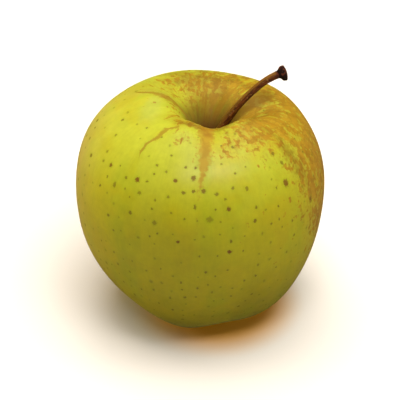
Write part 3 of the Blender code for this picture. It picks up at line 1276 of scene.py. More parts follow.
@dataclass
class Fruit:
    """The body of the apple, with its relief and the fields that its skin is painted by."""

    form: AppleForm
    view: PhotoView
    finish: SkinFinish = SkinFinish()
    columns: int = 408
    rows: int = 236
    russet_limit: float = 0.80
    dent: float = 0.16 * MM
    crease: float = 0.05 * MM
    pucker: float = 0.40 * MM
    groove: float = 0.10 * MM
    crust: float = 0.06 * MM
    crust_rise: tuple[float, float] = (0.3, 0.9)
    creases: tuple[Wave, ...] = (Wave(1.0, 17.0, 0.0, 1.1), Wave(0.6, 29.0, 4.0, 0.0))
    puckers: tuple[Wave, ...] = (Wave(1.0, 10.0, 0.0, 0.4), Wave(0.5, 23.0, 0.0, 2.0))
    # rings about the funnel and about the core: how far out, and how wide
    crease_ring: tuple[float, float] = (8.0 * MM, 5.0 * MM)
    pucker_ring: tuple[float, float] = (6.0 * MM, 3.0 * MM)
    basin_tint: float = 7.0 * MM
    grain_stretch: float = 0.55
    track_reach: float = 5.0
    track_keep: float = 1.5
    # degrees before and after a line's first knot in which it begins, and after its last in which it ends
    track_start: tuple[float, float] = (3.0, 2.0)
    track_end: float = 2.0
    depth_share: float = 0.1
    small_marks: int = 3200
    small_mark_radius: tuple[float, float] = (0.28, 0.66)
    small_mark_lean: tuple[float, float] = (1.3, 3.0)
    small_mark_tone: tuple[float, float] = (0.32, 0.80)
    small_mark_stretch: tuple[float, float] = (0.8, 1.5)
    small_mark_polar: tuple[float, float] = (22.0, 165.0)
    # the share kept near the stalk, and the polar angles between which it rises to all of them
    small_mark_share: float = 0.55
    small_mark_rise: tuple[float, float] = (0.6, 1.2)
    mark_gap: float = 1.8 * MM
    mark_blocks: int = 48
    seed: int = 7
    streak: Track = Track(
        knots=(
            (14.0, -80.0, 2.3),
            (20.0, -82.5, 2.0),
            (27.0, -85.0, 1.6),
            (33.7, -86.5, 2.0),
            (41.0, -88.2, 1.5),
            (49.0, -90.0, 1.5),
            (58.5, -91.8, 1.2),
        ),
        fade=27.0,
    )
    scar: Track = Track(
        knots=(
            (18.8, -115.6, 1.1),
            (21.2, -125.3, 0.9),
            (27.8, -127.9, 0.50),
            (32.2, -132.4, 0.42),
            (37.7, -132.4, 0.36),
            (41.9, -130.6, 0.30),
        ),
        fade=7.0,
    )
    crest: Track = Track(
        knots=(
            (5.0, 155.0, 1.5),
            (8.0, 166.0, 1.4),
            (12.0, 170.0, 1.3),
            (16.0, 169.0, 0.9),
            (20.0, 165.0, 0.8),
            (26.0, 159.0, 0.65),
            (31.0, 155.0, 0.5),
        ),
        fade=7.0,
    )
    patches: tuple[Patch, ...] = (
        Patch(polar=58, around=14, half_polar=38, half_around=40, strength=2.3),
        Patch(polar=27, around=-28, half_polar=11, half_around=31, strength=1.3),
        Patch(polar=15, around=60, half_polar=13, half_around=48, strength=1.2),
        Patch(polar=28, around=72, half_polar=12, half_around=46, strength=0.7),
        Patch(polar=24, around=125, half_polar=12, half_around=24, strength=0.36),
        Patch(polar=12, around=165, half_polar=8, half_around=26, strength=0.50),
        Patch(polar=14, around=-98, half_polar=3.5, half_around=42, strength=1.0),
        Patch(polar=24, around=-105, half_polar=5, half_around=12, strength=0.60),
        Patch(polar=30, around=-68, half_polar=6, half_around=10, strength=0.50),
        Patch(polar=9, around=-145, half_polar=2.5, half_around=28, strength=0.60),
        Patch(polar=31, around=24, half_polar=11, half_around=34, strength=-0.45),
        Patch(polar=80, around=-14, half_polar=18, half_around=14, strength=0.5),
    )
    # browned russet; the first patch is painted shade with the stalk's painted shadow, in the fold right of
    # the stalk
    toasts_and_shadows: tuple[Patch, ...] = (
        Patch(polar=22, around=29, half_polar=13, half_around=10, strength=1.2),
        Patch(polar=28, around=84, half_polar=15, half_around=50, strength=0.62),
        Patch(polar=20, around=-82, half_polar=4, half_around=6, strength=0.60),
        Patch(polar=46, around=-29, half_polar=20, half_around=6, strength=0.60),
        Patch(polar=22, around=-46, half_polar=4, half_around=26, strength=0.50),
        Patch(polar=15, around=-85, half_polar=3, half_around=50, strength=0.80),
        Patch(polar=60, around=-8, half_polar=16, half_around=15, strength=0.28),
    )
    # where the painted reflection of the surround lies, along the left rim
    sheen_flank: Patch = Patch(polar=88, around=172, half_polar=44, half_around=25, strength=1.0)
    # a ridge in the cavity, kept out of its painted shade
    ridge: Patch = Patch(polar=19, around=3, half_polar=9, half_around=14, strength=0.26)
    # right, up, radius, all in millimetres as the photograph shows them, how dark and how drawn out
    large_marks: tuple[tuple[float, float, float, float, float], ...] = (
        (-18.8, 6.4, 0.9, 0.95, 1.0),
        (-7.7, 5.7, 0.62, 0.9, 1.1),
        (8.7, -2.5, 0.72, 0.9, 1.0),
        (-6.9, -12.7, 0.6, 0.9, 1.0),
        (9.1, -16.0, 0.8, 1.0, 1.0),
        (25.8, 5.1, 1.0, 0.92, 1.5),
        (-32.6, 13.6, 0.7, 0.8, 1.0),
        (-26.7, 10.4, 0.65, 0.9, 1.0),
        (-23.3, 24.0, 0.55, 0.78, 1.0),
        (-27.9, 14.7, 0.5, 0.6, 1.0),
        (-28.8, 12.0, 0.5, 0.6, 1.0),
        (-25.7, 4.9, 0.6, 0.62, 1.9),
        (-22.4, 6.6, 0.5, 0.7, 1.0),
        (-29.9, 4.2, 0.5, 0.75, 1.0),
        (-18.2, 1.9, 0.75, 0.62, 0.8),
        (-12.9, 10.6, 0.55, 0.7, 0.8),
        (-14.1, 7.7, 0.52, 0.72, 0.8),
        (-15.8, 5.6, 0.52, 0.72, 1.0),
        (-10.2, 8.3, 0.48, 0.6, 1.0),
        (-4.4, 9.8, 0.52, 0.8, 1.0),
        (-9.6, 0.8, 0.52, 0.62, 1.0),
        (-5.2, 2.1, 0.7, 0.8, 0.7),
        (-1.4, 9.7, 0.5, 0.84, 1.0),
        (-1.9, 6.6, 0.8, 0.86, 1.2),
        (-1.9, 2.6, 0.6, 0.82, 0.8),
        (1.1, 2.5, 0.85, 0.84, 0.8),
        (5.1, 1.6, 0.7, 0.72, 0.7),
        (7.6, 0.1, 0.48, 0.66, 0.8),
        (14.0, 3.5, 0.58, 0.66, 1.7),
        (-1.6, -2.4, 0.45, 0.78, 2.6),
        (-21.1, -3.7, 0.68, 0.75, 1.0),
        (-27.4, -4.2, 0.55, 0.75, 1.0),
        (-13.8, -6.9, 0.75, 0.55, 1.1),
        (2.8, -5.9, 1.05, 0.5, 0.9),
        (16.4, -6.2, 0.6, 0.82, 1.1),
        (17.0, -2.1, 0.5, 0.75, 1.2),
        (9.7, 16.0, 0.55, 0.74, 1.8),
        (24.3, 11.3, 0.6, 0.74, 2.2),
        (21.8, 14.0, 0.6, 0.74, 1.0),
        (33.0, 0.4, 0.75, 0.9, 1.6),
    )

    def build(self, effects: SharedEffects) -> bpy.types.Object:
        """Builds and dresses the fruit.

        Args:
            effects: the shared node groups.

        Returns:
            The piece.
        """
        polar, around = np.meshgrid(
            self.form.crowded(np.linspace(0.0, math.pi, self.rows + 1))[1:-1],
            np.linspace(0.0, 2.0 * math.pi, self.columns, endpoint=False),
            indexing="ij",
        )
        rings = self.form.surface(polar, around)
        normals = self._normals(rings)
        seen = self._skin_seen(rings)
        sides, keeps = self._tracks(polar, around, rings)
        russet = self._russet(polar, around)
        hollows = self._hollows(polar, around, rings)
        relief = self._relief(polar, around, rings, sides, keeps, russet)
        rings = rings + normals * relief[..., None]
        rings[..., 2] = np.maximum(rings[..., 2], 0.0)
        top = self.form.surface(np.array([0.0]), np.array([0.0]))[0]
        shell = closed_shell(rings, top, self.form.basin_roof())
        made = make_object("fruit_skin", [shell])
        carry(made, SurfaceField.GRAIN, with_poles(self._grain(polar, around), 0.0, 0.0))
        carry(made, SurfaceField.RUSSET, with_poles(russet, russet[0].mean(), 0.0))
        toast_and_shadow = sum(patch.strength_at(polar, around) for patch in self.toasts_and_shadows)
        carry(made, SurfaceField.TOAST_AND_SHADOW, with_poles(toast_and_shadow, 0.0, 0.0))
        ends = hollows[0].mean(axis=0), hollows[-1].mean(axis=0)
        carry(made, SurfaceField.HOLLOWS, with_poles(hollows, *ends))
        carry(made, SurfaceField.LINE_SIDES, with_poles(sides, self.track_reach, self.track_reach))
        carry(made, SurfaceField.LINE_KEEPS, with_poles(keeps, 0.0, 0.0))
        self._carry_marks(made, shell.points, self._mark_table(seen))
        self.finish.dress(made, effects)
        hand_over(made, "apple_skin", "fruit")
        return made

    def _normals(self, rings: Array) -> Array:
        """Outward normals: the cross product of the step down the rows and the step round the columns.

        Args:
            rings: the points of the form.

        Returns:
            One normal a point.
        """
        down = np.gradient(rings, axis=0)
        beside = np.roll(rings, -1, axis=1) - np.roll(rings, 1, axis=1)
        return unit(np.cross(down, beside))

    def _upper(self, rings: Array) -> Array:
        """Which points are in the upper half."""
        return rings[..., 2] > 0.5 * rings[..., 2].max()

    def _grain(self, polar: Array, around: Array) -> Array:
        """A place whose first two numbers turn with the fruit and whose third runs from stalk to calyx."""
        return np.stack([np.cos(around), np.sin(around), self.grain_stretch * polar], axis=-1)

    def _skin_seen(self, rings: Array) -> Array:
        """The points of the skin where the photograph shows the large marks.

        Args:
            rings: the points of the form.

        Returns:
            For each mark the point of the front surface that appears nearest to its place.
        """
        seen_right, seen_up, depth = self.view.plane(rings.reshape(-1, 3))
        places = np.array([mark[:2] for mark in self.large_marks]) * MM
        miss = np.hypot(seen_right - places[:, :1], seen_up - places[:, 1:])
        return rings.reshape(-1, 3)[(miss + self.depth_share * depth).argmin(axis=1)]

    def _tracks(self, polar: Array, around: Array, rings: Array) -> tuple[Array, Array]:
        """How far each point is to the side of each line, in half widths, and how much of the line is kept.

        Args:
            polar: angle from the stalk end.
            around: angle round the fruit.
            rings: the points of the form.

        Returns:
            The sides and the keeps, each with the streak, the scar and the crest line in its last axis.
        """
        sides, keeps = [], []
        down = np.degrees(polar)
        radius = np.hypot(rings[..., 0], rings[..., 1]) / MM
        for track in (self.streak, self.scar, self.crest):
            angle, turn, half = (np.array(column) for column in zip(*track.knots))
            centre = np.radians(np.interp(down, angle, turn))
            side = turned(around - centre) * radius / np.interp(down, angle, half)
            sides.append(np.clip(side, -self.track_reach, self.track_reach))
            before, after = self.track_start
            begin = smooth_step(down, angle[0] - before, angle[0] + after)
            end = 1.0 - smooth_step(down, angle[-1] - track.fade, angle[-1] + self.track_end)
            keeps.append(self.track_keep * begin * end)
        return np.stack(sides, axis=-1), np.stack(keeps, axis=-1)

    def _russet(self, polar: Array, around: Array) -> Array:
        """How russet each point is: the sum of the patches, levelling off at a limit so that gaps stay."""
        total = sum(patch.strength_at(polar, around) for patch in self.patches)
        return self.russet_limit * (1.0 - np.exp(-total / self.russet_limit))

    def _hollows(self, polar: Array, around: Array, rings: Array) -> Array:
        """How deep each point is in the cavity, which sets its painted shade, and in the basin, and its
        painted rim sheen.

        Args:
            polar: angle from the stalk end.
            around: angle round the fruit.
            rings: the points of the form.

        Returns:
            The three, each up to 1, in the last axis.
        """
        x, y, top = rings[..., 0], rings[..., 1], self._upper(rings)
        form = self.form
        cavity = form.saucer_depth * bell(form.from_saucer(x, y), form.saucer_radius)
        cavity = cavity + form.funnel_depth * bell(form.from_funnel(x, y), form.funnel_radius)
        basin = bell(np.hypot(x, y), self.basin_tint) * ~top
        sheen_flank = self.sheen_flank.strength_at(polar, around)
        depth = top * cavity / (form.saucer_depth + form.funnel_depth)
        # the ridge is kept out of the painted shade of the cavity
        depth = depth - self.ridge.strength_at(polar, around)
        return np.stack([depth, basin, sheen_flank], axis=-1)

    def _relief(
        self, polar: Array, around: Array, rings: Array, sides: Array, keeps: Array, russet: Array
    ) -> Array:
        """How far the skin stands proud of the form.

        Slow dents, creases down the cavity's wall, puckers round the basin, the streak's and the russet's
        crust, and the grooves of the scar and the crest line.

        Args:
            polar: angle from the stalk end.
            around: angle round the fruit.
            rings: the points of the form.
            sides: how far each point is to the side of the lines.
            keeps: how much of each line is kept.
            russet: how russet each point is.

        Returns:
            Metres outwards at each point.
        """
        dents = np.sin(3.0 * around + 2.0 * polar) * np.sin(5.0 * polar + 0.7)
        dents = dents + 0.6 * np.sin(7.0 * around - 3.0 * polar + 1.3) * np.sin(4.0 * polar)
        relief = self.dent * dents * np.sin(polar)
        x, y, top = rings[..., 0], rings[..., 1], self._upper(rings)
        out, width = self.crease_ring
        crease = rippled(self.creases, around, polar)
        relief = relief + self.crease * crease * bell(self.form.from_funnel(x, y) - out, width) * top
        out, width = self.pucker_ring
        pucker = rippled(self.puckers, around, polar)
        relief = relief + self.pucker * pucker * bell(np.hypot(x, y) - out, width) * ~top
        closeness = np.clip(keeps - np.abs(sides), 0.0, 1.0)
        streak, scar, crest = closeness[..., 0], closeness[..., 1], closeness[..., 2]
        relief = relief + self.crust * streak - self.groove * (scar + crest)
        return relief + self.crust * smooth_step(russet, *self.crust_rise)

    def _mark_table(self, large: Array) -> tuple[Array, Array, Array, Array]:
        """The lenticels: those seen in the photograph, and small ones strewn evenly but a gap apart.

        Args:
            large: the middles of those seen in the photograph.

        Returns:
            Their middles, their radii in metres, how dark each is and how drawn out upwards.
        """
        large_radius = np.array([mark[2] for mark in self.large_marks]) * MM
        large_tone = np.array([mark[3] for mark in self.large_marks])
        large_stretch = np.array([mark[4] for mark in self.large_marks])
        random = np.random.default_rng(self.seed)
        polar = np.arccos(random.uniform(-1.0, 1.0, self.small_marks))
        around = random.uniform(0.0, 2.0 * math.pi, self.small_marks)
        small = self.form.surface(polar, around)
        share = random.beta(*self.small_mark_lean, self.small_marks)
        low, high = self.small_mark_radius
        radius = (low + (high - low) * share) * MM
        pale, dark = self.small_mark_tone
        tone = pale + (dark - pale) * random.random(self.small_marks)
        stretch = random.uniform(*self.small_mark_stretch, self.small_marks)
        large_extent = large_radius * np.maximum(large_stretch, 1.0)
        extent = radius * np.maximum(stretch, 1.0)
        gap = np.linalg.norm(small[:, None] - large[None], axis=-1) - extent[:, None] - large_extent
        first, last = np.radians(self.small_mark_polar)
        kept = (gap > self.mark_gap).all(axis=1) & (polar > first) & (polar < last)
        least = self.small_mark_share
        likely = least + (1.0 - least) * smooth_step(polar, *self.small_mark_rise)
        kept &= random.random(self.small_marks) < likely
        gap = np.linalg.norm(small[:, None] - small[None], axis=-1) - extent[:, None] - extent
        kept &= ~np.tril(gap < self.mark_gap, -1).any(axis=1)
        return (
            np.concatenate([large, small[kept]]),
            np.concatenate([large_radius, radius[kept]]),
            np.concatenate([large_tone, tone[kept]]),
            np.concatenate([large_stretch, stretch[kept]]),
        )

    def _carry_marks(
        self, made: bpy.types.Object, points: Array, table: tuple[Array, Array, Array, Array]
    ) -> None:
        """Stores where each point is beside the lenticel whose edge is nearest.

        That is its offset from the middle, in radii and with the height divided by the stretch, its
        distance from the edge in millimetres, and how dark the lenticel is.

        Args:
            made: the fruit.
            points: its points.
            table: the lenticels' middles, radii, tones and stretches.
        """
        middles, radii, tones, stretches = table
        extents = radii * np.maximum(stretches, 1.0)
        nearest = np.concatenate(
            [
                (np.linalg.norm(block[:, None] - middles[None], axis=-1) - extents).argmin(axis=1)
                for block in np.array_split(points, self.mark_blocks)
            ]
        )
        offset = points - middles[nearest]
        reach = np.linalg.norm(offset, axis=1) - extents[nearest]
        offset = offset / radii[nearest][:, None]
        offset[:, 2] /= stretches[nearest]
        carry(made, SurfaceField.MARK_OFFSET, offset)
        carry(made, SurfaceField.MARK_REACH, reach / MM)
        carry(made, SurfaceField.MARK_TONE, tones[nearest])
        log.info("lenticels: %d", len(radii))


@dataclass
class Stalk:
    """The woody stalk: a ribbed tube along a curved path, with the oval pad where it came off its twig."""

    form: AppleForm
    finish: BarkFinish = BarkFinish()
    # right, back, up from the cavity floor, and radius, all in millimetres
    knots: tuple[tuple[float, float, float, float], ...] = (
        (0.0, 0.0, -4.0, 1.40),
        (0.1, 0.0, 1.5, 1.55),
        (2.5, 0.4, 9.0, 1.27),
        (7.6, 1.4, 16.6, 1.05),
        (13.5, 2.8, 22.3, 1.03),
        (17.9, 3.6, 25.0, 1.12),
        (21.3, 4.0, 26.0, 1.20),
    )
    pad_flare: float = 0.95 * MM
    pad_back: float = 1.0 * MM
    pad_width: float = 1.25 * MM
    pad_fade: tuple[float, float] = (4.6 * MM, 1.6 * MM)
    rounding: float = 0.7 * MM
    grain_length: float = 1.2
    ribs: tuple[Wave, ...] = (Wave(0.045, 5.0, 0.22, 0.0), Wave(0.03, 9.0, -0.35, 1.0))
    knob_height: float = 0.02
    knob_pace: float = 1.7
    pad_lumps: tuple[Wave, ...] = (
        Wave(0.16, 2.0, 0.0, 0.4),
        Wave(0.14, 3.0, 0.9, 0.0),
        Wave(0.10, 5.0, -1.7, 0.0),
        Wave(0.06, 9.0, 0.0, 2.0),
    )
    columns: int = 48
    steps: int = 26

    def build(self, effects: SharedEffects) -> bpy.types.Object:
        """Builds and dresses the stalk.

        Args:
            effects: the shared node groups.

        Returns:
            The piece.
        """
        track = smooth_path(np.array(self.knots) * MM, self.steps)
        path, radius = track[:, :3] + self.form.cavity_floor(), track[:, 3]
        walked = np.concatenate([[0.0], np.cumsum(np.linalg.norm(np.diff(path, axis=0), axis=1))])
        left = walked[-1] - walked
        angle = np.linspace(0.0, 2.0 * math.pi, self.columns, endpoint=False)
        rows, turn = np.meshgrid(walked / MM, angle, indexing="ij")
        ribs = rippled(self.ribs, turn, rows, level=1.0)
        knobs = 1.0 + self.knob_height * np.sin(self.knob_pace * rows) * np.cos(2.0 * turn + 0.5 * rows)
        flare = self.pad_flare * np.exp(-(((left - self.pad_back) / self.pad_width) ** 4))
        uneven = rippled(self.pad_lumps, turn, rows, level=1.0)
        radii = radius[:, None] * ribs * knobs + flare[:, None] * uneven
        end = 1.0 - np.clip(1.0 - left / self.rounding, 0.0, 1.0) ** 2
        start = 1.0 - np.clip(1.0 - walked / self.rounding, 0.0, 1.0) ** 2
        radii = radii * np.sqrt(end * start)[:, None]
        shell = swept_shell(path, radii, np.array([0.0, 1.0, 0.0]), self.columns)
        made = make_object("stalk_wood", [shell])
        grain = np.stack([np.cos(turn), np.sin(turn), rows / self.grain_length], axis=-1)[1:-1]
        along = np.broadcast_to(smooth_step(left, *self.pad_fade)[1:-1, None], rows[1:-1].shape)
        carry(made, SurfaceField.GRAIN, with_poles(grain, 0.0, grain[-1].mean(axis=0)))
        carry(made, SurfaceField.ALONG, with_poles(along, 0.0, 1.0))
        self.finish.dress(made, effects)
        hand_over(made, "stalk_bark", "stalk")
        return made


@dataclass
class Calyx:
    """The dried calyx: five curling sepals on a core, with stamens between them and down round them.

    Its sizes are in millimetres. A pair is the least and the most that chance gives, and downwards is from
    the roof of the basin to the table.
    """

    form: AppleForm
    finish: SepalFinish = SepalFinish()
    down_finish: DownFinish = DownFinish()
    sepals: int = 5
    root_radius: float = 2.1
    neck_radius: float = 1.5
    tip_radius: float = 4.9
    neck_along: float = 0.40
    crest_along: float = 0.75
    curl_along: float = 0.70
    height: float = 3.6
    tip_curl: float = 1.8
    half_width: float = 1.35
    tip_narrowing: float = 0.93
    cup: float = 0.35
    half_thickness: float = 0.20
    reach_share: tuple[float, float] = (0.93, 1.05)
    curl_share: tuple[float, float] = (0.6, 1.5)
    swing: tuple[float, float] = (-0.9, 0.9)
    edge_thinning: float = 0.55
    tip_thinning: float = 0.5
    wave_height: float = 0.12
    root_rounding: float = 0.05
    tip_rounding: float = 0.06
    sepal_rows: int = 34
    sepal_columns: int = 20
    root_drop: float = 1.5
    core_radius: float = 2.7
    core_half_height: float = 1.4
    core_rows: int = 30
    core_columns: int = 60
    core_wrinkle: Wave = Wave(0.05, 15.0, 0.0, 0.0)
    core_along: float = 0.3
    clearance: float = 0.15
    stamens: int = 16
    stamen_spread: float = 1.1
    stamen_root: float = 2.6
    stamen_lean: float = 0.35
    stamen_length: tuple[float, float] = (1.4, 2.6)
    stamen_radius: float = 0.09
    stamen_sides: int = 8
    hairs: int = 1500
    hair_nearest: float = 1.6
    hair_spread: float = 3.2
    hair_crowding: float = 0.8
    hair_sink: float = 0.1
    hair_tilt: float = 0.45
    hair_lean: float = 0.25
    hair_length: tuple[float, float] = (0.9, 2.1)
    hair_radius: float = 0.050
    hair_sides: int = 4
    thread_rows: int = 6
    thread_side: tuple[float, float, float] = (0.31, 0.83, 0.46)
    droop: float = 0.45
    thinning: float = 0.75
    seed: int = 11

    def build(self, effects: SharedEffects) -> list[bpy.types.Object]:
        """Builds and dresses the sepals with their core, the stamens and the down.

        Args:
            effects: the shared node groups.

        Returns:
            The pieces.
        """
        random = np.random.default_rng(self.seed)
        roof = self.form.basin_roof()
        made = self._build_sepals(random, roof, effects)
        down = self._build_down(random, roof, effects)
        return [made, down]

    def _sepal(self, random: np.random.Generator, turn: float) -> tuple[Shell, Array, Array]:
        """One sepal: a thin lens-shaped section along a line that leans in, bends out and curls back.

        Args:
            random: the source of its own small differences.
            turn: where it stands round the calyx.

        Returns:
            The shell in millimetres from the basin's roof, its grain and how far along each point is.
        """
        along, angle = np.meshgrid(
            np.linspace(0.0, 1.0, self.sepal_rows),
            np.linspace(0.0, 2.0 * math.pi, self.sepal_columns, endpoint=False),
            indexing="ij",
        )
        reach = self.tip_radius * random.uniform(*self.reach_share)
        curl = self.tip_curl * random.uniform(*self.curl_share)
        swing = random.uniform(*self.swing)
        inward = smooth_step(along, 0.0, self.neck_along)
        outward = smooth_step(along, self.neck_along, 1.0)
        out = self.root_radius + (self.neck_radius - self.root_radius) * inward
        out = out + (reach - self.neck_radius) * outward
        rise = np.sin(math.pi / 2.0 * np.minimum(along / self.crest_along, 1.0))
        drop = self.root_drop + self.height * rise
        drop = drop - curl * smooth_step(along, self.curl_along, 1.0)
        across = np.cos(angle)
        rounded = np.sqrt(np.clip(along / self.root_rounding, 0.0, 1.0))
        width = self.half_width * (1.0 - self.tip_narrowing * along**2) * rounded
        thinned = (1.0 - self.edge_thinning * across**2) * (1.0 - self.tip_thinning * along)
        lens = self.half_thickness * np.sin(angle) * thinned
        lens = lens * rounded * np.sqrt(np.clip((1.0 - along) / self.tip_rounding, 0.0, 1.0))
        slope_out, slope_down = np.gradient(out[:, 0]), np.gradient(drop[:, 0])
        steep = np.hypot(slope_out, slope_down)
        side_out, side_down = (slope_down / steep)[:, None], (-slope_out / steep)[:, None]
        wave = self.wave_height * np.sin(9.0 * along + 3.0 * across + turn)
        local_out = out + self.cup * across**2 * (1.0 - along) + (lens + wave * along) * side_out
        local_down = drop + (lens + wave * along) * side_down
        local_side = width * across + swing * along**2
        x = local_out * math.cos(turn) - local_side * math.sin(turn)
        y = local_out * math.sin(turn) + local_side * math.cos(turn)
        points = np.stack([x, y, -local_down], axis=-1)
        shell = closed_shell(points[1:-1, ::-1], points[0].mean(axis=0), points[-1].mean(axis=0))
        grain = np.stack([across, np.sin(angle) * 0.2, 4.0 * along], axis=-1)[1:-1, ::-1]
        return shell, with_poles(grain, 0.0, 0.0), with_poles(along[1:-1, ::-1], 0.0, 1.0)

    def _core(self) -> tuple[Shell, Array, Array]:
        """The squashed round core, wrinkled towards its rim.

        Returns:
            The shell in millimetres from the basin's roof, its grain and how far along each point is.
        """
        polar, around = np.meshgrid(
            np.linspace(0.0, math.pi, self.core_rows)[1:-1],
            np.linspace(0.0, 2.0 * math.pi, self.core_columns, endpoint=False),
            indexing="ij",
        )
        wrinkle = 1.0 + rippled((self.core_wrinkle,), around, polar) * np.sin(polar)
        x = self.core_radius * wrinkle * np.sin(polar) * np.cos(around)
        y = self.core_radius * wrinkle * np.sin(polar) * np.sin(around)
        z = self.core_half_height * np.cos(polar) - self.core_half_height - self.clearance
        first = np.array([0.0, 0.0, -self.clearance])
        last = np.array([0.0, 0.0, -self.clearance - 2.0 * self.core_half_height])
        grain = np.stack([np.cos(around), np.sin(around), polar], axis=-1)
        shell = closed_shell(np.stack([x, y, z], axis=-1), first, last)
        along = np.full_like(polar, self.core_along)
        return shell, with_poles(grain, 0.0, 0.0), with_poles(along, self.core_along, self.core_along)

    def _thread(
        self, root: Array, lean: Array, length: float, radius: float, columns: int
    ) -> tuple[Shell, Array, Array]:
        """A thin tapering thread that droops as it goes.

        Args:
            root: where it starts, in millimetres from the basin's roof.
            lean: the direction it starts in.
            length: its length in millimetres.
            radius: its radius at the root.
            columns: points round it.

        Returns:
            The shell, its grain and how far along each point is.
        """
        t = np.linspace(0.0, 1.0, self.thread_rows)
        bend = np.cross(lean, [0.0, 0.0, 1.0])
        path = root + t[:, None] * lean * length + (t**2)[:, None] * bend * length * self.droop
        radii = np.repeat((radius * (1.0 - self.thinning * t))[:, None], columns, axis=1)
        shell = swept_shell(path, radii, np.array(self.thread_side), columns)
        along = np.repeat(t[1:-1, None], columns, axis=1)
        grain = np.stack([along, along, along], axis=-1)
        return shell, with_poles(grain, 0.0, 1.0), with_poles(along, 0.0, 1.0)

    def _assemble(
        self, name: str, parts: list[tuple[Shell, Array, Array]], roof: Array
    ) -> bpy.types.Object:
        """One object of several parts, brought from millimetres under the roof to their place.

        Args:
            name: the piece's name.
            parts: each part's shell, its grain and how far along each point is.
            roof: the highest point of the basin.

        Returns:
            The object with its fields.
        """
        shells = [Shell(shell.points * MM + roof, shell.quads, shell.triangles) for shell, _, _ in parts]
        made = make_object(name, shells)
        carry(made, SurfaceField.GRAIN, np.concatenate([grain for _, grain, _ in parts]))
        carry(made, SurfaceField.ALONG, np.concatenate([along for _, _, along in parts]))
        return made

    def _build_sepals(
        self, random: np.random.Generator, roof: Array, effects: SharedEffects
    ) -> bpy.types.Object:
        """The sepals, their core and the stamens as one piece.

        Args:
            random: the source of their small differences.
            roof: the highest point of the basin.
            effects: the shared node groups.

        Returns:
            The piece.
        """
        turns = self.form.lobe_angle + (2.0 * np.arange(self.sepals) + 1.0) * math.pi / self.sepals
        parts = [self._sepal(random, float(turn)) for turn in turns] + [self._core()]
        for index in range(self.stamens):
            turn = index * GOLDEN_ANGLE
            east, north = math.cos(turn), math.sin(turn)
            spread = self.stamen_spread * math.sqrt((index + 0.5) / self.stamens)
            root = np.array([spread * east, spread * north, -self.stamen_root])
            lean = unit(np.array([self.stamen_lean * east, self.stamen_lean * north, -1.0]))
            length = random.uniform(*self.stamen_length)
            parts.append(self._thread(root, lean, length, self.stamen_radius, self.stamen_sides))
        made = self._assemble("calyx_sepals", parts, roof)
        self.finish.dress(made, effects)
        hand_over(made, "dried_sepal", "calyx")
        return made

    def _build_down(
        self, random: np.random.Generator, roof: Array, effects: SharedEffects
    ) -> bpy.types.Object:
        """The down: short hairs that stand on the basin's wall and lean towards the table.

        Args:
            random: the source of the hairs' places and leans.
            roof: the highest point of the basin.
            effects: the shared node groups.

        Returns:
            The piece.
        """
        distance = self.hair_nearest + self.hair_spread * random.random(self.hairs) ** self.hair_crowding
        turn = random.uniform(0.0, 2.0 * math.pi, self.hairs)
        parts = []
        for out, angle in zip(distance, turn):
            share = 1.0 - float(bell(np.array(out), self.form.basin_radius / MM))
            depth = self.form.basin_depth / MM * share
            east, north = math.cos(angle), math.sin(angle)
            root = np.array([out * east, out * north, -depth + self.hair_sink])
            tilt = random.normal(0.0, self.hair_tilt, 2)
            lean = unit(np.array([tilt[0] - self.hair_lean * east, tilt[1] - self.hair_lean * north, -1.0]))
            length = random.uniform(*self.hair_length)
            parts.append(self._thread(root, lean, length, self.hair_radius, self.hair_sides))
        made = self._assemble("calyx_down", parts, roof)
        self.down_finish.dress(made, effects)
        hand_over(made, "dried_sepal")
        return made


# The studio


@dataclass(frozen=True)
class SoftBox:
    """A rectangular studio light: its place and sides in metres and its power in watts.

    One that isn't mirrored lights the apple but doesn't show in its skin.
    """

    name: str
    place: tuple[float, float, float]
    width: float
    depth: float
    power: float
    colour: Colour = (1.0, 1.0, 1.0)
    mirrored: bool = True

    def set_up(self, aim: Vector) -> None:
        """Places the light and turns it to the aim.

        Args:
            aim: the point that it shines at.
        """
        lamp = bpy.data.lights.new(self.name, "AREA")
        lamp.shape = "RECTANGLE"
        lamp.size = self.width
        lamp.size_y = self.depth
        lamp.energy = self.power
        lamp.color = self.colour
        made = bpy.data.objects.new(self.name, lamp)
        made.location = self.place
        made.visible_glossy = self.mirrored
        made.rotation_euler = (aim - Vector(self.place)).to_track_quat("-Z", "Y").to_euler()
        bpy.context.scene.collection.objects.link(made)


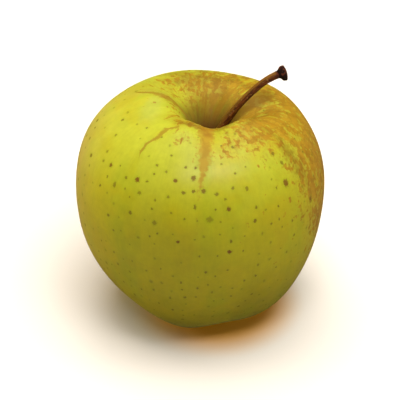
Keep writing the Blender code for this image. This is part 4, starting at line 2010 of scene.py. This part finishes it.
@dataclass(frozen=True)
class Studio:
    """A plain pale floor, soft light from above and both sides, and a camera at the photograph's angle."""

    view: PhotoView
    floor_half: float = 3.0
    floor_drop: float = 0.05 * MM
    floor_seen: Colour = (0.97, 0.89, 0.78)
    # a painted warm glow of the apple's own light on the floor in its shade
    floor_painted_glow: Colour = (1.0, 0.50, 0.11)
    glow_centre: tuple[float, float, float] = (5.0 * MM, -5.0 * MM, 0.0)
    glow_radius: tuple[float, float] = (14.0 * MM, 28.0 * MM)
    floor_bounce: Colour = (0.50, 0.46, 0.41)
    floor_mirrored: Colour = (0.16, 0.12, 0.07)
    floor_roughness: float = 0.6
    # distances from the middle between which the floor turns white, and stops letting light up through it
    floor_fade: tuple[float, float] = (0.16, 0.50)
    window: tuple[float, float] = (18.0 * MM, 36.0 * MM)
    sky_seen: float = 1.0
    sky_light: float = 0.10
    sky_mirrored: float = 0.03
    frame_width: float = 120.0 * MM
    sensor: float = 36.0
    lights: tuple[SoftBox, ...] = (
        SoftBox("overhead", (0.07, 0.09, 1.10), 1.3, 0.85, 16.3, mirrored=False),
        SoftBox("front_strip", (0.14, -0.52, 1.00), 0.9, 0.22, 4.4),
        SoftBox("left_fill", (-1.2, 0.47, 0.16), 0.7, 0.3, 8.8, (1.0, 0.88, 0.76), mirrored=False),
        SoftBox("right_fill", (1.2, 0.42, 0.14), 0.6, 0.3, 3.2, (1.0, 0.88, 0.76), mirrored=False),
        SoftBox("under_light", (0.0, 0.0, -0.006), 0.08, 0.08, 0.0065, mirrored=False),
    )

    def set_up(self) -> None:
        """Builds the floor, the sky, the lights and the camera."""
        self._floor()
        self._sky()
        aim = Vector((0.0, 0.0, self.view.aim_height))
        for light in self.lights:
            light.set_up(aim)
        self._camera(aim)

    def _floor(self) -> None:
        """A square floor just under the feet, painted warm where the apple's own light falls on it.

        It throws less light back than it shows, so that the apple's lower half stays as dark as it should.
        Far from the apple it fades to the white of the surround. From below it is clear, and straight under
        the apple it lets the light from below through, so that the calyx can be looked at.
        """
        half, low = self.floor_half, -self.floor_drop
        corners = [(-half, -half, low), (half, -half, low), (half, half, low), (-half, half, low)]
        mesh = bpy.data.meshes.new("floor")
        mesh.from_pydata(corners, [], [(0, 1, 2, 3)])
        made = bpy.data.objects.new("floor", mesh)
        bpy.context.scene.collection.objects.link(made)
        sheet, shader, material = new_material("pale_floor")
        ray = sheet.add("ShaderNodeLightPath")
        seen, mirrored = ray.outputs["Is Camera Ray"], ray.outputs["Is Glossy Ray"]
        place = sheet.place()
        out = sheet.length(place)
        far = sheet.step(out, *self.floor_fade)
        # the floor painted warm near the apple, as a glow of its own light in the shade
        off_glow = sheet.length(sheet.vector("SUBTRACT", place, self.glow_centre))
        shown = sheet.blend(sheet.step(off_glow, *self.glow_radius), self.floor_painted_glow, self.floor_seen)
        shown = sheet.blend(far, shown, BLACK)
        unseen = sheet.blend(mirrored, self.floor_bounce, self.floor_mirrored)
        sheet.feed(shader.inputs["Base Color"], sheet.blend(seen, unseen, shown))
        glow = sheet.times(sheet.times(far, seen), self.sky_seen)
        sheet.feed(shader.inputs["Emission Color"], glow)
        shader.inputs["Emission Strength"].default_value = 1.0
        shader.inputs["Roughness"].default_value = self.floor_roughness
        shader.inputs["Specular IOR Level"].default_value = 0.0
        below = sheet.add("ShaderNodeNewGeometry").outputs["Backfacing"]
        window = sheet.rest(sheet.step(out, *self.window))
        window = sheet.times(window, sheet.rest(seen))
        mixed = sheet.add("ShaderNodeMixShader")
        sheet.feed(mixed.inputs[0], sheet.larger(below, window))
        sheet.feed(mixed.inputs[1], shader.outputs[0])
        sheet.feed(mixed.inputs[2], sheet.add("ShaderNodeBsdfTransparent").outputs[0])
        sheet.feed(material.node_tree.nodes["Material Output"].inputs["Surface"], mixed.outputs[0])
        mesh.materials.append(material)

    def _sky(self) -> None:
        """A white surround that lights the apple less than it shows, and is mirrored in it less still."""
        world = bpy.data.worlds.new("surround")
        world.use_nodes = True
        bpy.context.scene.world = world
        sheet = NodeSheet(world.node_tree)
        ray = sheet.add("ShaderNodeLightPath")
        background = world.node_tree.nodes["Background"]
        background.inputs["Color"].default_value = (1.0, 1.0, 1.0, 1.0)
        strength = sheet.span(ray.outputs["Is Glossy Ray"], 0.0, 1.0, self.sky_light, self.sky_mirrored)
        shown = sheet.times(ray.outputs["Is Camera Ray"], self.sky_seen)
        sheet.feed(background.inputs["Strength"], sheet.larger(strength, shown))

    def _camera(self, aim: Vector) -> None:
        """A long lens at the photograph's distance and height.

        Args:
            aim: the middle of the apple's outline, which it looks at.
        """
        lens = bpy.data.cameras.new("camera")
        lens.sensor_width = self.sensor
        lens.lens = self.sensor * self.view.distance / self.frame_width
        made = bpy.data.objects.new("camera", lens)
        made.location = Vector(self.view.eye().tolist())
        made.rotation_euler = (aim - made.location).to_track_quat("-Z", "Y").to_euler()
        bpy.context.scene.collection.objects.link(made)
        bpy.context.scene.camera = made
        bpy.context.scene.view_settings.view_transform = "Standard"


def main() -> None:
    """Builds the apple and its studio."""
    logging.basicConfig(level=logging.INFO, format="%(name)s: %(message)s")
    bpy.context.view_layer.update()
    form = AppleForm()
    view = PhotoView()
    effects = SharedEffects()
    Fruit(form, view).build(effects)
    Stalk(form).build(effects)
    Calyx(form).build(effects)
    Studio(view).set_up()


if __name__ == "__main__":
    main()
